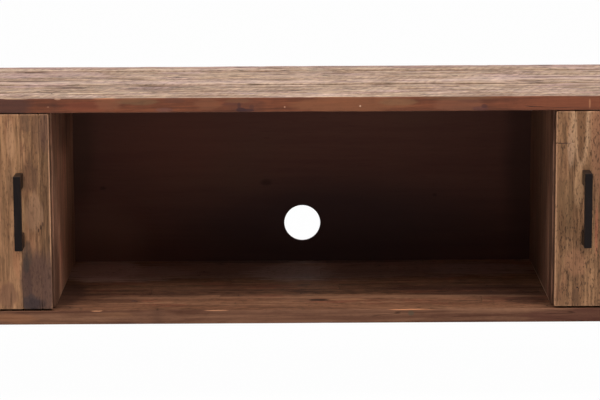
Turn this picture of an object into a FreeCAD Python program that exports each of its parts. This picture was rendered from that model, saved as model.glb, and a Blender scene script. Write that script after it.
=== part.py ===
import FreeCAD, Part
import Sketcher
import os

# Low TV stand of reclaimed boards: a plank top and bottom, an open middle bay between two dividers,
# a door with a bar pull on each side of it, and two steel leg frames under the ends.
# Millimetres. +X along the length, the front faces -Y, +Z up, origin on the floor under the middle.

SIZES = (
    ("stand_width", 1600, "length of the top and of the bottom"),
    ("carcass_depth", 412, "front to back, top and bottom boards"),
    ("bay_height", 319, "clear height between bottom and top"),
    ("bay_width", 797, "clear width of the open middle bay"),
    ("top_thickness", 24, "top boards"),
    ("bottom_thickness", 22, "bottom boards"),
    ("top_first_board", 58, "width of the front board of the top"),
    ("top_second_board", 112, "width of the next board"),
    ("top_third_board", 96, "width of the next board"),
    ("top_fourth_board", 84, "width of the next board, the rear board takes the rest"),
    ("bottom_first_board", 118, "width of the front board of the bottom"),
    ("bottom_second_board", 84, "width of the next board"),
    ("bottom_third_board", 110, "width of the next board, the rear board takes the rest"),
    ("side_thickness", 20, "end panels"),
    ("divider_thickness", 20, "uprights beside the open bay"),
    ("end_overhang", 8, "top and bottom past the end panels"),
    ("back_thickness", 6, "back panel"),
    ("back_recess", 6, "back panel behind the rear edges of the boards"),
    ("back_rebate", 10, "how far the back panel reaches into each end panel"),
    ("back_fit", 0.3, "room round the back panel"),
    ("cable_hole_diameter", 63, "round cable hole in the back panel"),
    ("cable_hole_height", 67.5, "centre of the cable hole above the bottom"),
    ("back_screw_margin", 40, "outer back screws from the bottom and from the top"),
    ("back_screw_diameter", 3.5, "back panel screws"),
    ("back_screw_head", 7, "back panel screws"),
    ("back_screw_rise", 2, "height of the back screw heads"),
    ("back_screw_length", 26, "under the head"),
    ("dowel_diameter", 8, "beech dowels of the uprights"),
    ("dowel_in_board", 12, "dowel depth in top and bottom"),
    ("dowel_in_upright", 20, "dowel depth in the uprights"),
    ("dowel_margin", 60, "outer dowels from the edges of the uprights"),
    ("hole_fit", 0.05, "radial room round dowels and screws"),
    ("hole_end_room", 0.5, "room past the end of a dowel or screw"),
    ("door_thickness", 20, "door panels"),
    ("door_recess", 1, "door face behind the front edges of the boards"),
    ("door_gap_above", 1, "door to top"),
    ("door_gap_below", 3, "door to bottom"),
    ("door_reveal", 2.3, "free edge of a door short of the bay face of its divider"),
    ("pull_projection", 38, "pull in front of the door"),
    ("pull_length", 119, "pull overall"),
    ("pull_width", 12, "square bar, across"),
    ("pull_bar_thickness", 9, "square bar, front to back"),
    ("pull_post_height", 23, "solid ends of the pull"),
    ("pull_inset", 48.3, "middle of the pull from the free edge of the door"),
    ("pull_rise", 3.7, "middle of the pull above the middle of the door"),
    ("pull_edge_radius", 0.8, "eased edges of the pull"),
    ("pull_screw_diameter", 4, "machine screws of the pull"),
    ("pull_screw_head", 8, "machine screws of the pull"),
    ("pull_screw_rise", 2, "height of the pull screw heads"),
    ("pull_screw_length", 31, "under the head, through the door into the pull"),
    ("hinge_length", 50, "butt hinge, along the pin"),
    ("hinge_reach", 20, "from the pin to the far edge of a leaf"),
    ("hinge_leaf_thickness", 1.4, "sheet of the leaves"),
    ("hinge_leaf_gap", 0.2, "between the closed leaves"),
    ("hinge_barrel_diameter", 5.8, "outside of the knuckles"),
    ("hinge_barrel_room", 0.5, "barrel to the face of the end panel"),
    ("hinge_pin_diameter", 2.6, "pin"),
    ("hinge_pin_fit", 0.05, "radial room of the pin in the knuckles"),
    ("hinge_pin_head", 4.4, "rounded ends of the pin"),
    ("hinge_pin_rise", 1.2, "height of the ends of the pin"),
    ("hinge_knuckle_gap", 0.3, "between knuckles, and from knuckles to leaves"),
    ("hinge_margin", 55, "middle of a hinge from the end of the door"),
    ("hinge_screw_pitch", 17, "along the leaf"),
    ("hinge_screw_inset", 10, "screws from the outer face of the end panel"),
    ("hinge_screw_diameter", 3, "hinge screws"),
    ("hinge_screw_head", 5.4, "hinge screws"),
    ("hinge_screw_length", 16, "overall"),
    ("catch_width", 13, "catch housing off the divider"),
    ("catch_flange", 3, "thickness of the screw flange"),
    ("catch_flange_length", 50, "housing along the height, with flange"),
    ("catch_case_length", 30, "raised case along the height"),
    ("catch_depth", 18, "housing front to back"),
    ("catch_wall", 2, "wall round the magnet"),
    ("catch_fit", 0.1, "room round the magnet"),
    ("catch_screw_pitch", 40, "between the two catch screws"),
    ("catch_screw_diameter", 3, "catch screws"),
    ("catch_screw_head", 5.4, "catch screws"),
    ("catch_screw_length", 15, "overall"),
    ("strike_width", 12, "strike plate across"),
    ("strike_length", 32, "strike plate along the height"),
    ("strike_thickness", 1.4, "strike plate sheet"),
    ("strike_gap", 0.3, "strike plate to magnet"),
    ("strike_screw_diameter", 3, "strike screw"),
    ("strike_screw_head", 5.2, "strike screw"),
    ("strike_screw_length", 14, "overall"),
    ("bumper_diameter", 8, "soft door bumpers"),
    ("bumper_top_diameter", 6, "front of the bumper"),
    ("bumper_gap", 0.3, "bumper to divider"),
    ("bumper_margin", 22, "bumpers from the ends of the door"),
    ("leg_height", 135, "floor to the underside of the bottom"),
    ("leg_inset", 150, "middle of a leg frame from the end of the boards"),
    ("leg_setback", 40, "leg frame behind the front and rear edges"),
    ("leg_tube", 30, "square tube, outside"),
    ("leg_wall", 2, "square tube, wall"),
    ("leg_corner", 3, "rounded corners of the tube"),
    ("leg_plate_thickness", 5, "flat bar under the bottom boards"),
    ("leg_plate_width", 70, "flat bar under the bottom boards"),
    ("leg_screw_margin", 62, "leg screws from the ends of the plate"),
    ("leg_screw_spread", 48, "leg screws across the plate"),
    ("leg_screw_diameter", 4.5, "leg screws"),
    ("leg_screw_head", 8.6, "leg screws"),
    ("leg_screw_length", 20, "overall"),
    ("cap_thickness", 3, "end cap outside the runner"),
    ("cap_plug_length", 12, "end cap inside the runner"),
    ("cap_fit", 0.1, "room round the plug"),
    ("glide_diameter", 24, "floor glides"),
    ("glide_thickness", 4, "floor glides"),
    ("glide_edge", 1, "bevel at the foot of a glide"),
    ("glide_margin", 34, "glides from the ends of the runner"),
)

doc = FreeCAD.newDocument("tv_stand")
sheet = doc.addObject("Spreadsheet::Sheet", "Sizes")
for row, (alias, value, note) in enumerate(SIZES, 1):
    sheet.set(f"A{row}", note)
    sheet.set(f"B{row}", str(value))
    sheet.setAlias(f"B{row}", alias)
doc.recompute()

# Planes that several pieces share, as expressions on the sheet.
PULL_OUT = "(Sizes.pull_projection - Sizes.door_recess)"
FRONT = f"(({PULL_OUT} - Sizes.carcass_depth) / 2)"
BACK = f"({FRONT} + Sizes.carcass_depth)"
DOOR_FRONT = f"({FRONT} + Sizes.door_recess)"
DOOR_BACK = f"({DOOR_FRONT} + Sizes.door_thickness)"
HINGE_Y = f"({DOOR_BACK} + Sizes.hinge_leaf_thickness + Sizes.hinge_leaf_gap / 2)"
EDGE = f"({HINGE_Y} + Sizes.hinge_leaf_thickness + Sizes.hinge_leaf_gap / 2)"
PANEL_BACK = f"({BACK} - Sizes.back_recess)"
PANEL_FRONT = f"({PANEL_BACK} - Sizes.back_thickness)"

UNDER = "Sizes.leg_height"
FLOOR = f"({UNDER} + Sizes.bottom_thickness)"
CEILING = f"({FLOOR} + Sizes.bay_height)"
TOP = f"({CEILING} + Sizes.top_thickness)"
DOOR_LOW = f"({FLOOR} + Sizes.door_gap_below)"
DOOR_HIGH = f"({CEILING} - Sizes.door_gap_above)"
DOOR_MID = f"(({DOOR_LOW} + {DOOR_HIGH}) / 2)"

END = "(Sizes.stand_width / 2)"
DIVIDER_IN = "(Sizes.bay_width / 2)"
DIVIDER_OUT = f"({DIVIDER_IN} + Sizes.divider_thickness)"
DIVIDER_MID = f"({DIVIDER_IN} + Sizes.divider_thickness / 2)"
SIDE_OUT = f"({END} - Sizes.end_overhang)"
SIDE_IN = f"({SIDE_OUT} - Sizes.side_thickness)"
SIDE_MID = f"({SIDE_OUT} - Sizes.side_thickness / 2)"
PANEL_END = f"({SIDE_IN} + Sizes.back_rebate)"
DOOR_FREE = f"({DIVIDER_IN} + Sizes.door_reveal)"
PULL_X = f"({DOOR_FREE} + Sizes.pull_inset)"
HINGE_X = f"({SIDE_OUT} + Sizes.hinge_barrel_room + Sizes.hinge_barrel_diameter / 2)"

HANDS = (("left", -1), ("right", 1))
nodes = []


def node(piece, label):
    """Give a finished piece the name of its file and keep it for the hand-out."""
    piece.Label = label
    nodes.append(piece)
    return piece


def value_of(expression):
    """The present value of an expression on the sheet, for starting points of sketches."""
    return float(sheet.evalExpression(expression))


def bind(piece, **expressions):
    """Tie properties of a piece to expressions on the sheet."""
    for name, expression in expressions.items():
        piece.setExpression(name, expression)


def place(piece, x, y, z):
    """Tie the place of a piece to expressions on the sheet."""
    piece.setExpression("Placement.Base.x", x)
    piece.setExpression("Placement.Base.y", y)
    piece.setExpression("Placement.Base.z", z)


def mirror_span(hand, near, far):
    """Span along X from near to far off the middle plane, on the left or the right side."""
    if hand > 0:
        return near, far
    return f"-({far})", f"-({near})"


def mirror_at(hand, x):
    """Place along X on the left or the right side."""
    return x if hand > 0 else f"-({x})"


def inward_span(face, inward, near, far):
    """Span along an axis that starts near and ends far from a face, into or out of the piece."""
    if inward > 0:
        return f"({face}) + ({near})", f"({face}) + ({far})"
    return f"({face}) - ({far})", f"({face}) - ({near})"


def centred(middle, length):
    """Span of a length about its middle."""
    return f"({middle}) - ({length}) / 2", f"({middle}) + ({length}) / 2"


def block(name, x, y, z):
    """A box from three spans."""
    box = doc.addObject("Part::Box", name)
    bind(box, Length=f"({x[1]}) - ({x[0]})", Width=f"({y[1]}) - ({y[0]})", Height=f"({z[1]}) - ({z[0]})")
    place(box, x[0], y[0], z[0])
    return box


TURNS = {
    "x": FreeCAD.Rotation(FreeCAD.Vector(0, 1, 0), 90),
    "y": FreeCAD.Rotation(FreeCAD.Vector(1, 0, 0), -90),
    "z": FreeCAD.Rotation(),
}


def turned(name, axis, centre, span, radius, end_radius=None):
    """A cylinder, or a cone when an end radius is given, along an axis through centre."""
    kind = "Part::Cone" if end_radius else "Part::Cylinder"
    solid = doc.addObject(kind, name)
    solid.Placement = FreeCAD.Placement(FreeCAD.Vector(), TURNS[axis])
    bind(solid, Height=f"({span[1]}) - ({span[0]})")
    if end_radius:
        bind(solid, Radius1=radius, Radius2=end_radius)
    else:
        bind(solid, Radius=radius)
    spot = dict(zip("xyz", centre))
    spot[axis] = span[0]
    place(solid, spot["x"], spot["y"], spot["z"])
    return solid


def fuse(name, pieces):
    """One solid from several that meet."""
    joined = doc.addObject("Part::MultiFuse", name)
    joined.Shapes = pieces
    return joined


def group(name, pieces):
    """Several separate solids under one name."""
    bundle = doc.addObject("Part::Compound", name)
    bundle.Links = pieces
    return bundle


def cut(name, base, tools):
    """A solid with tools taken out of it."""
    result = doc.addObject("Part::Cut", name)
    result.Base = base
    result.Tool = tools[0] if len(tools) == 1 else group(f"{name}_tools", tools)
    return result


def flat_screw(name, axis, centre, face, inward, kind, room=False):
    """A countersunk screw flush with a face, or with room round it, the hole that it needs."""
    fit = "Sizes.hole_fit" if room else "0"
    end = "Sizes.hole_end_room" if room else "0"
    head = f"Sizes.{kind}_head / 2 + {fit}"
    shank = f"Sizes.{kind}_diameter / 2 + {fit}"
    sink = f"(Sizes.{kind}_head - Sizes.{kind}_diameter) / 2"
    wide, narrow = (head, shank) if inward > 0 else (shank, head)
    cone = turned(f"{name}_head", axis, centre, inward_span(face, inward, "0", sink), wide, narrow)
    rest = inward_span(face, inward, sink, f"Sizes.{kind}_length + {end}")
    rod = turned(f"{name}_shank", axis, centre, rest, shank)
    return fuse(name, [cone, rod])


def pan_screw(name, axis, centre, face, inward, kind):
    """A screw with its head on a face and its shank in the piece."""
    head = inward_span(face, -inward, "0", f"Sizes.{kind}_rise")
    shank = inward_span(face, inward, "0", f"Sizes.{kind}_length")
    return fuse(name, [
        turned(f"{name}_head", axis, centre, head, f"Sizes.{kind}_head / 2"),
        turned(f"{name}_shank", axis, centre, shank, f"Sizes.{kind}_diameter / 2"),
    ])


def pan_hole(name, axis, centre, face, inward, kind):
    """The hole for the shank of a pan head screw."""
    shank = inward_span(face, inward, "0", f"Sizes.{kind}_length + Sizes.hole_end_room")
    return turned(name, axis, centre, shank, f"Sizes.{kind}_diameter / 2 + Sizes.hole_fit")


def sketch_on(body, role, name):
    """An empty sketch on one of a body's own origin planes."""
    sketch = body.newObject("Sketcher::SketchObject", name)
    plane = next(feature for feature in body.Origin.OriginFeatures if feature.Role == role)
    sketch.AttachmentSupport = [(plane, "")]
    sketch.MapMode = "FlatFace"
    return sketch


ORIGIN_POINT = (-1, 1)


def dimension(sketch, kind, name, start, end, expression):
    """A driving dimension of a sketch, tied to the sheet."""
    index = sketch.addConstraint(Sketcher.Constraint(kind, *start, *end, value_of(expression)))
    sketch.renameConstraint(index, name)
    sketch.setExpression(f"Constraints.{name}", expression)


def outline(sketch, name, corners):
    """A closed outline of upright and level lines, each corner given by two expressions."""
    points = [FreeCAD.Vector(value_of(x), value_of(y), 0) for x, y in corners]
    first = sketch.GeometryCount
    count = len(points)
    for i, point in enumerate(points):
        sketch.addGeometry(Part.LineSegment(point, points[(i + 1) % count]), False)
    for i in range(count):
        line = first + i
        after = first + (i + 1) % count
        sketch.addConstraint(Sketcher.Constraint("Coincident", line, 2, after, 1))
        level = corners[i][1] == corners[(i + 1) % count][1]
        sketch.addConstraint(Sketcher.Constraint("Horizontal" if level else "Vertical", line))
    fixed_x = set()
    fixed_y = set()
    for i, (x, y) in enumerate(corners):
        corner = (first + i, 1)
        if x not in fixed_x:
            fix_coordinate(sketch, "DistanceX", f"{name}_x{i}", corner, x)
        if y not in fixed_y:
            fix_coordinate(sketch, "DistanceY", f"{name}_y{i}", corner, y)
        fixed_x.add(x)
        fixed_y.add(y)


def fix_coordinate(sketch, kind, name, corner, expression):
    """Hold one coordinate of a corner: on an axis when it is zero, else by a dimension."""
    if expression == "0":
        axis = -2 if kind == "DistanceX" else -1
        sketch.addConstraint(Sketcher.Constraint("PointOnObject", *corner, axis))
    else:
        dimension(sketch, kind, name, ORIGIN_POINT, corner, expression)


def circle(sketch, name, x, y, radius):
    """A circle held by its centre and radius."""
    middle = FreeCAD.Vector(value_of(x), value_of(y), 0)
    round_edge = Part.Circle(middle, FreeCAD.Vector(0, 0, 1), value_of(radius))
    index = sketch.addGeometry(round_edge, False)
    dimension(sketch, "DistanceX", f"{name}_x", ORIGIN_POINT, (index, 3), x)
    dimension(sketch, "DistanceY", f"{name}_y", ORIGIN_POINT, (index, 3), y)
    constraint = sketch.addConstraint(Sketcher.Constraint("Radius", index, value_of(radius)))
    sketch.renameConstraint(constraint, f"{name}_radius")
    sketch.setExpression(f"Constraints.{name}_radius", radius)


def pad(body, sketch, length):
    """Raise a sketch into a solid."""
    raised = body.newObject("PartDesign::Pad", f"{body.Name}_pad")
    raised.Profile = sketch
    raised.setExpression("Length", length)
    doc.recompute()
    return raised


# Dowels: each upright stands on three of them and carries the top on three more.
DOWEL_ROWS = (
    f"({EDGE} + Sizes.dowel_margin)",
    f"(({EDGE} + {PANEL_FRONT}) / 2)",
    f"({PANEL_FRONT} - Sizes.dowel_margin)",
)
UPRIGHTS = [(f"{name}_{kind}", mirror_at(hand, middle)) for name, hand in HANDS
            for kind, middle in (("side", SIDE_MID), ("divider", DIVIDER_MID))]


def dowel(name, x, y, joint_height, up, room=False):
    """A dowel across the joint of an upright with the board above or below, or its hole."""
    end = "Sizes.hole_end_room" if room else "0"
    fit = "Sizes.hole_fit" if room else "0"
    above, below = ("dowel_in_board", "dowel_in_upright") if up else ("dowel_in_upright", "dowel_in_board")
    span = (f"{joint_height} - Sizes.{below} - {end}", f"{joint_height} + Sizes.{above} + {end}")
    return turned(name, "z", (x, y, None), span, f"Sizes.dowel_diameter / 2 + {fit}")


dowels = []
dowel_holes = {"top": [], "bottom": []}
upright_holes = {name: [] for name, middle in UPRIGHTS}
for upright, middle in UPRIGHTS:
    for level, height, up in (("top", CEILING, True), ("bottom", FLOOR, False)):
        for i, row in enumerate(DOWEL_ROWS):
            name = f"{upright}_{level}_dowel_{i}"
            dowels.append(dowel(name, middle, row, height, up))
            hole = dowel(f"{name}_hole", middle, row, height, up, room=True)
            dowel_holes[level].append(hole)
            upright_holes[upright].append(hole)
node(group("Dowels", dowels), "carcass_dowels")

# Leg frames: a flat bar under the bottom boards, two square posts and a runner with capped ends.
LEG_X = f"({END} - Sizes.leg_inset)"
LEG_FRONT = f"({FRONT} + Sizes.leg_setback)"
LEG_BACK = f"({BACK} - Sizes.leg_setback)"
RUNNER_LOW = "Sizes.glide_thickness"
RUNNER_HIGH = f"({RUNNER_LOW} + Sizes.leg_tube)"
PLATE_LOW = f"({UNDER} - Sizes.leg_plate_thickness)"


def square_tube(name, role, length, x, y, z):
    """A welded square tube with rounded outer corners, raised from one of its origin planes."""
    body = doc.addObject("PartDesign::Body", name)
    sketch = sketch_on(body, role, f"{name}_section")
    side = "Sizes.leg_tube"
    wall = "Sizes.leg_wall"
    far = f"{side} - {wall}"
    outline(sketch, "outer", (("0", "0"), (side, "0"), (side, side), ("0", side)))
    outline(sketch, "inner", ((wall, wall), (far, wall), (far, far), (wall, far)))
    raised = pad(body, sketch, length)
    straight = raised.Shape.BoundBox
    normal = 2 if role == "XY_Plane" else 1
    corners = []
    for i, edge in enumerate(raised.Shape.Edges, 1):
        start, end = (vertex.Point for vertex in edge.Vertexes)
        along = abs(start[normal] - end[normal]) > 1e-6
        outside = all(abs(start[k] - limit[0]) < 1e-6 or abs(start[k] - limit[1]) < 1e-6
                      for k, limit in enumerate(((straight.XMin, straight.XMax),
                                                 (straight.YMin, straight.YMax),
                                                 (straight.ZMin, straight.ZMax))) if k != normal)
        if along and outside:
            corners.append(f"Edge{i}")
    rounding = body.newObject("PartDesign::Fillet", f"{name}_corners")
    rounding.Base = (raised, corners)
    rounding.setExpression("Radius", "Sizes.leg_corner")
    place(body, x, y, z)
    return body


leg_screws = []
leg_screw_holes = []
end_caps = []
glides = []
for name, hand in HANDS:
    middle = mirror_at(hand, LEG_X)
    tube_x = centred(middle, "Sizes.leg_tube")
    plate = block(f"{name}_plate_bar", centred(middle, "Sizes.leg_plate_width"), (LEG_FRONT, LEG_BACK),
                  (PLATE_LOW, UNDER))
    plate_holes = []
    for i, offset in enumerate(("-Sizes.leg_screw_spread / 2", "Sizes.leg_screw_spread / 2")):
        for j, row in enumerate((f"({LEG_FRONT} + Sizes.leg_screw_margin)",
                                 f"({LEG_BACK} - Sizes.leg_screw_margin)")):
            spot = (f"{middle} + {offset}", row, None)
            screw = f"{name}_leg_screw_{i}{j}"
            leg_screws.append(flat_screw(screw, "z", spot, PLATE_LOW, 1, "leg_screw"))
            plate_holes.append(flat_screw(f"{screw}_hole", "z", spot, PLATE_LOW, 1, "leg_screw", room=True))
    leg_screw_holes += plate_holes
    node(cut(f"{name}_plate", plate, plate_holes), f"{name}_leg_plate")
    post_height = f"{PLATE_LOW} - {RUNNER_HIGH}"
    node(square_tube(f"{name}_front_post", "XY_Plane", post_height, tube_x[0], LEG_FRONT, RUNNER_HIGH),
         f"{name}_leg_front_post")
    node(square_tube(f"{name}_rear_post", "XY_Plane", post_height, tube_x[0],
                     f"{LEG_BACK} - Sizes.leg_tube", RUNNER_HIGH), f"{name}_leg_rear_post")
    node(square_tube(f"{name}_runner", "XZ_Plane", f"{LEG_BACK} - {LEG_FRONT}", tube_x[0], LEG_BACK,
                     RUNNER_LOW), f"{name}_leg_runner")
    hollow = "(Sizes.leg_tube - 2 * Sizes.leg_wall - 2 * Sizes.cap_fit)"
    runner_mid = f"({RUNNER_LOW} + Sizes.leg_tube / 2)"
    for end, face, inward in (("front", LEG_FRONT, 1), ("rear", LEG_BACK, -1)):
        lid = block(f"{name}_{end}_lid", tube_x, inward_span(face, -inward, "0", "Sizes.cap_thickness"),
                    (RUNNER_LOW, RUNNER_HIGH))
        plug = block(f"{name}_{end}_plug", centred(middle, hollow),
                     inward_span(face, inward, "0", "Sizes.cap_plug_length"), centred(runner_mid, hollow))
        end_caps.append(fuse(f"{name}_{end}_cap", [lid, plug]))
    for end, row in (("front", f"({LEG_FRONT} + Sizes.glide_margin)"),
                     ("rear", f"({LEG_BACK} - Sizes.glide_margin)")):
        spot = (middle, row, None)
        foot = turned(f"{name}_{end}_glide_foot", "z", spot, ("0", "Sizes.glide_edge"),
                      "Sizes.glide_diameter / 2 - Sizes.glide_edge", "Sizes.glide_diameter / 2")
        disc = turned(f"{name}_{end}_glide_disc", "z", spot, ("Sizes.glide_edge", RUNNER_LOW),
                      "Sizes.glide_diameter / 2")
        glides.append(fuse(f"{name}_{end}_glide", [foot, disc]))
node(group("LegScrews", leg_screws), "leg_screws")
node(group("EndCaps", end_caps), "runner_end_caps")
node(group("Glides", glides), "floor_glides")

# Top and bottom: boards glued edge to edge, running the whole length.


def planks(name, widths, z, holes):
    """Boards from the front edge to the rear edge, the last one taking what is left."""
    start = FRONT
    for i, width in enumerate(widths + [None], 1):
        end = f"({start} + Sizes.{width})" if width else BACK
        board = block(f"{name}_{i}_board", (f"-{END}", END), (start, end), z)
        node(cut(f"{name}_{i}", board, holes), f"{name}_{i}")
        start = end


planks("bottom_board", ["bottom_first_board", "bottom_second_board", "bottom_third_board"],
       (UNDER, FLOOR), dowel_holes["bottom"] + leg_screw_holes)
planks("top_board", ["top_first_board", "top_second_board", "top_third_board", "top_fourth_board"],
       (CEILING, TOP), dowel_holes["top"])

# Back panel: a thin sheet in rebates of the end panels, screwed to the rear edges of the uprights.
PANEL_LOW = f"({FLOOR} + Sizes.back_fit)"
PANEL_HALF = f"({PANEL_END} - Sizes.back_fit)"
BACK_SCREW_X = [mirror_at(hand, x) for name, hand in HANDS
                for x in (DIVIDER_MID, f"({SIDE_IN} + Sizes.back_rebate / 2)")]
BACK_SCREW_UPRIGHTS = ("left_divider", "left_side", "right_divider", "right_side")
BACK_SCREW_Z = (
    f"({FLOOR} + Sizes.back_screw_margin)",
    f"(({FLOOR} + {CEILING}) / 2)",
    f"({CEILING} - Sizes.back_screw_margin)",
)
panel = doc.addObject("PartDesign::Body", "BackPanel")
panel_sketch = sketch_on(panel, "XZ_Plane", "BackPanelOutline")
PANEL_WIDTH = f"(2 * {PANEL_HALF})"
PANEL_HEIGHT = "(Sizes.bay_height - 2 * Sizes.back_fit)"
outline(panel_sketch, "sheet", (("0", "0"), (PANEL_WIDTH, "0"), (PANEL_WIDTH, PANEL_HEIGHT),
                                ("0", PANEL_HEIGHT)))
circle(panel_sketch, "cable", PANEL_HALF, "Sizes.cable_hole_height - Sizes.back_fit",
       "Sizes.cable_hole_diameter / 2")
back_screws = []
for upright, x in zip(BACK_SCREW_UPRIGHTS, BACK_SCREW_X):
    for i, z in enumerate(BACK_SCREW_Z):
        name = f"{upright}_back_screw_{i}"
        circle(panel_sketch, name, f"{x} + {PANEL_HALF}", f"{z} - {PANEL_LOW}",
               "Sizes.back_screw_diameter / 2 + Sizes.hole_fit")
        back_screws.append(pan_screw(name, "y", (x, None, z), PANEL_BACK, -1, "back_screw"))
        upright_holes[upright].append(pan_hole(f"{name}_hole", "y", (x, None, z), PANEL_BACK, -1,
                                               "back_screw"))
pad(panel, panel_sketch, "Sizes.back_thickness")
place(panel, f"-{PANEL_HALF}", PANEL_BACK, PANEL_LOW)
node(panel, "back_panel")
node(group("BackScrews", back_screws), "back_panel_screws")

# Hinges: two butt hinges for each door, their leaves in the gap between door and end panel and
# their barrels just outside the end panel, under the overhang of the top.
KNUCKLES = 5
LEAF_SCREWS = (-1, 0, 1)
HINGE_HEIGHTS = (
    ("upper", f"({DOOR_HIGH} - Sizes.hinge_margin)"),
    ("lower", f"({DOOR_LOW} + Sizes.hinge_margin)"),
)
LEAF_NEAR = f"({HINGE_X} - Sizes.hinge_reach)"
LEAF_FAR = f"({HINGE_X} - Sizes.hinge_barrel_diameter / 2 - Sizes.hinge_knuckle_gap)"
HINGE_SCREW_X = f"({SIDE_OUT} - Sizes.hinge_screw_inset)"


def hinge_leaf(name, hand, middle, sheet_y, own_knuckles, face, inward):
    """One leaf with its knuckles, bored for the pin and drilled for its screws."""
    low = f"({middle} - Sizes.hinge_length / 2)"
    axis_x = mirror_at(hand, HINGE_X)
    solids = [block(f"{name}_sheet", mirror_span(hand, LEAF_NEAR, LEAF_FAR), sheet_y,
                    centred(middle, "Sizes.hinge_length"))]
    for k in own_knuckles:
        span = (f"{low} + Sizes.hinge_length * {k} / {KNUCKLES} + Sizes.hinge_knuckle_gap / 2",
                f"{low} + Sizes.hinge_length * {k + 1} / {KNUCKLES} - Sizes.hinge_knuckle_gap / 2")
        solids.append(turned(f"{name}_knuckle_{k}", "z", (axis_x, HINGE_Y, None), span,
                             "Sizes.hinge_barrel_diameter / 2"))
        solids.append(block(f"{name}_bridge_{k}", mirror_span(hand, LEAF_FAR, HINGE_X), sheet_y, span))
    bore = turned(f"{name}_bore", "z", (axis_x, HINGE_Y, None), centred(middle, "Sizes.hinge_length"),
                  "Sizes.hinge_pin_diameter / 2 + Sizes.hinge_pin_fit")
    screws = []
    holes = []
    for i in LEAF_SCREWS:
        spot = (mirror_at(hand, HINGE_SCREW_X), None, f"{middle} + {i} * Sizes.hinge_screw_pitch")
        screw = f"{name}_screw_{i + 1}"
        screws.append(flat_screw(screw, "y", spot, face, inward, "hinge_screw"))
        holes.append(flat_screw(f"{screw}_hole", "y", spot, face, inward, "hinge_screw", room=True))
    leaf = cut(name, fuse(f"{name}_blank", solids), [bore] + holes)
    return leaf, screws, holes


def hinge_pin(name, hand, middle):
    """The pin through all knuckles, with a rounded head over each end."""
    centre = (mirror_at(hand, HINGE_X), HINGE_Y, None)
    half = "Sizes.hinge_length / 2"
    tip = "Sizes.hinge_pin_rise"
    wide = "Sizes.hinge_pin_head / 2"
    narrow = "Sizes.hinge_pin_diameter / 2"
    return fuse(name, [
        turned(f"{name}_shank", "z", centre, centred(middle, "Sizes.hinge_length"), narrow),
        turned(f"{name}_upper_head", "z", centre, inward_span(middle, 1, half, f"{half} + {tip}"), wide, narrow),
        turned(f"{name}_lower_head", "z", centre, inward_span(middle, -1, half, f"{half} + {tip}"), narrow, wide),
    ])


side_leaf_face = f"({HINGE_Y} + Sizes.hinge_leaf_gap / 2)"
door_leaf_face = f"({HINGE_Y} - Sizes.hinge_leaf_gap / 2)"
hinge_side_screws = []
door_screws = {"left": [], "right": []}
door_holes = {"left": [], "right": []}
for name, hand in HANDS:
    for level, middle in HINGE_HEIGHTS:
        side_name = f"{name}_{level}_hinge_side_leaf"
        leaf, screws, holes = hinge_leaf(side_name, hand, middle, (side_leaf_face, EDGE),
                                         range(0, KNUCKLES, 2), side_leaf_face, 1)
        node(leaf, side_name)
        hinge_side_screws += screws
        upright_holes[f"{name}_side"] += holes
        door_name = f"{name}_{level}_hinge_door_leaf"
        leaf, screws, holes = hinge_leaf(door_name, hand, middle, (DOOR_BACK, door_leaf_face),
                                         range(1, KNUCKLES, 2), door_leaf_face, -1)
        node(leaf, door_name)
        door_screws[name] += screws
        door_holes[name] += holes
        node(hinge_pin(f"{name}_{level}_pin", hand, middle), f"{name}_{level}_hinge_pin")
    node(group(f"{name}_hinge_door_screw_set", door_screws[name]), f"{name}_hinge_door_screws")
node(group("HingeSideScrews", hinge_side_screws), "hinge_side_screws")

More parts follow.
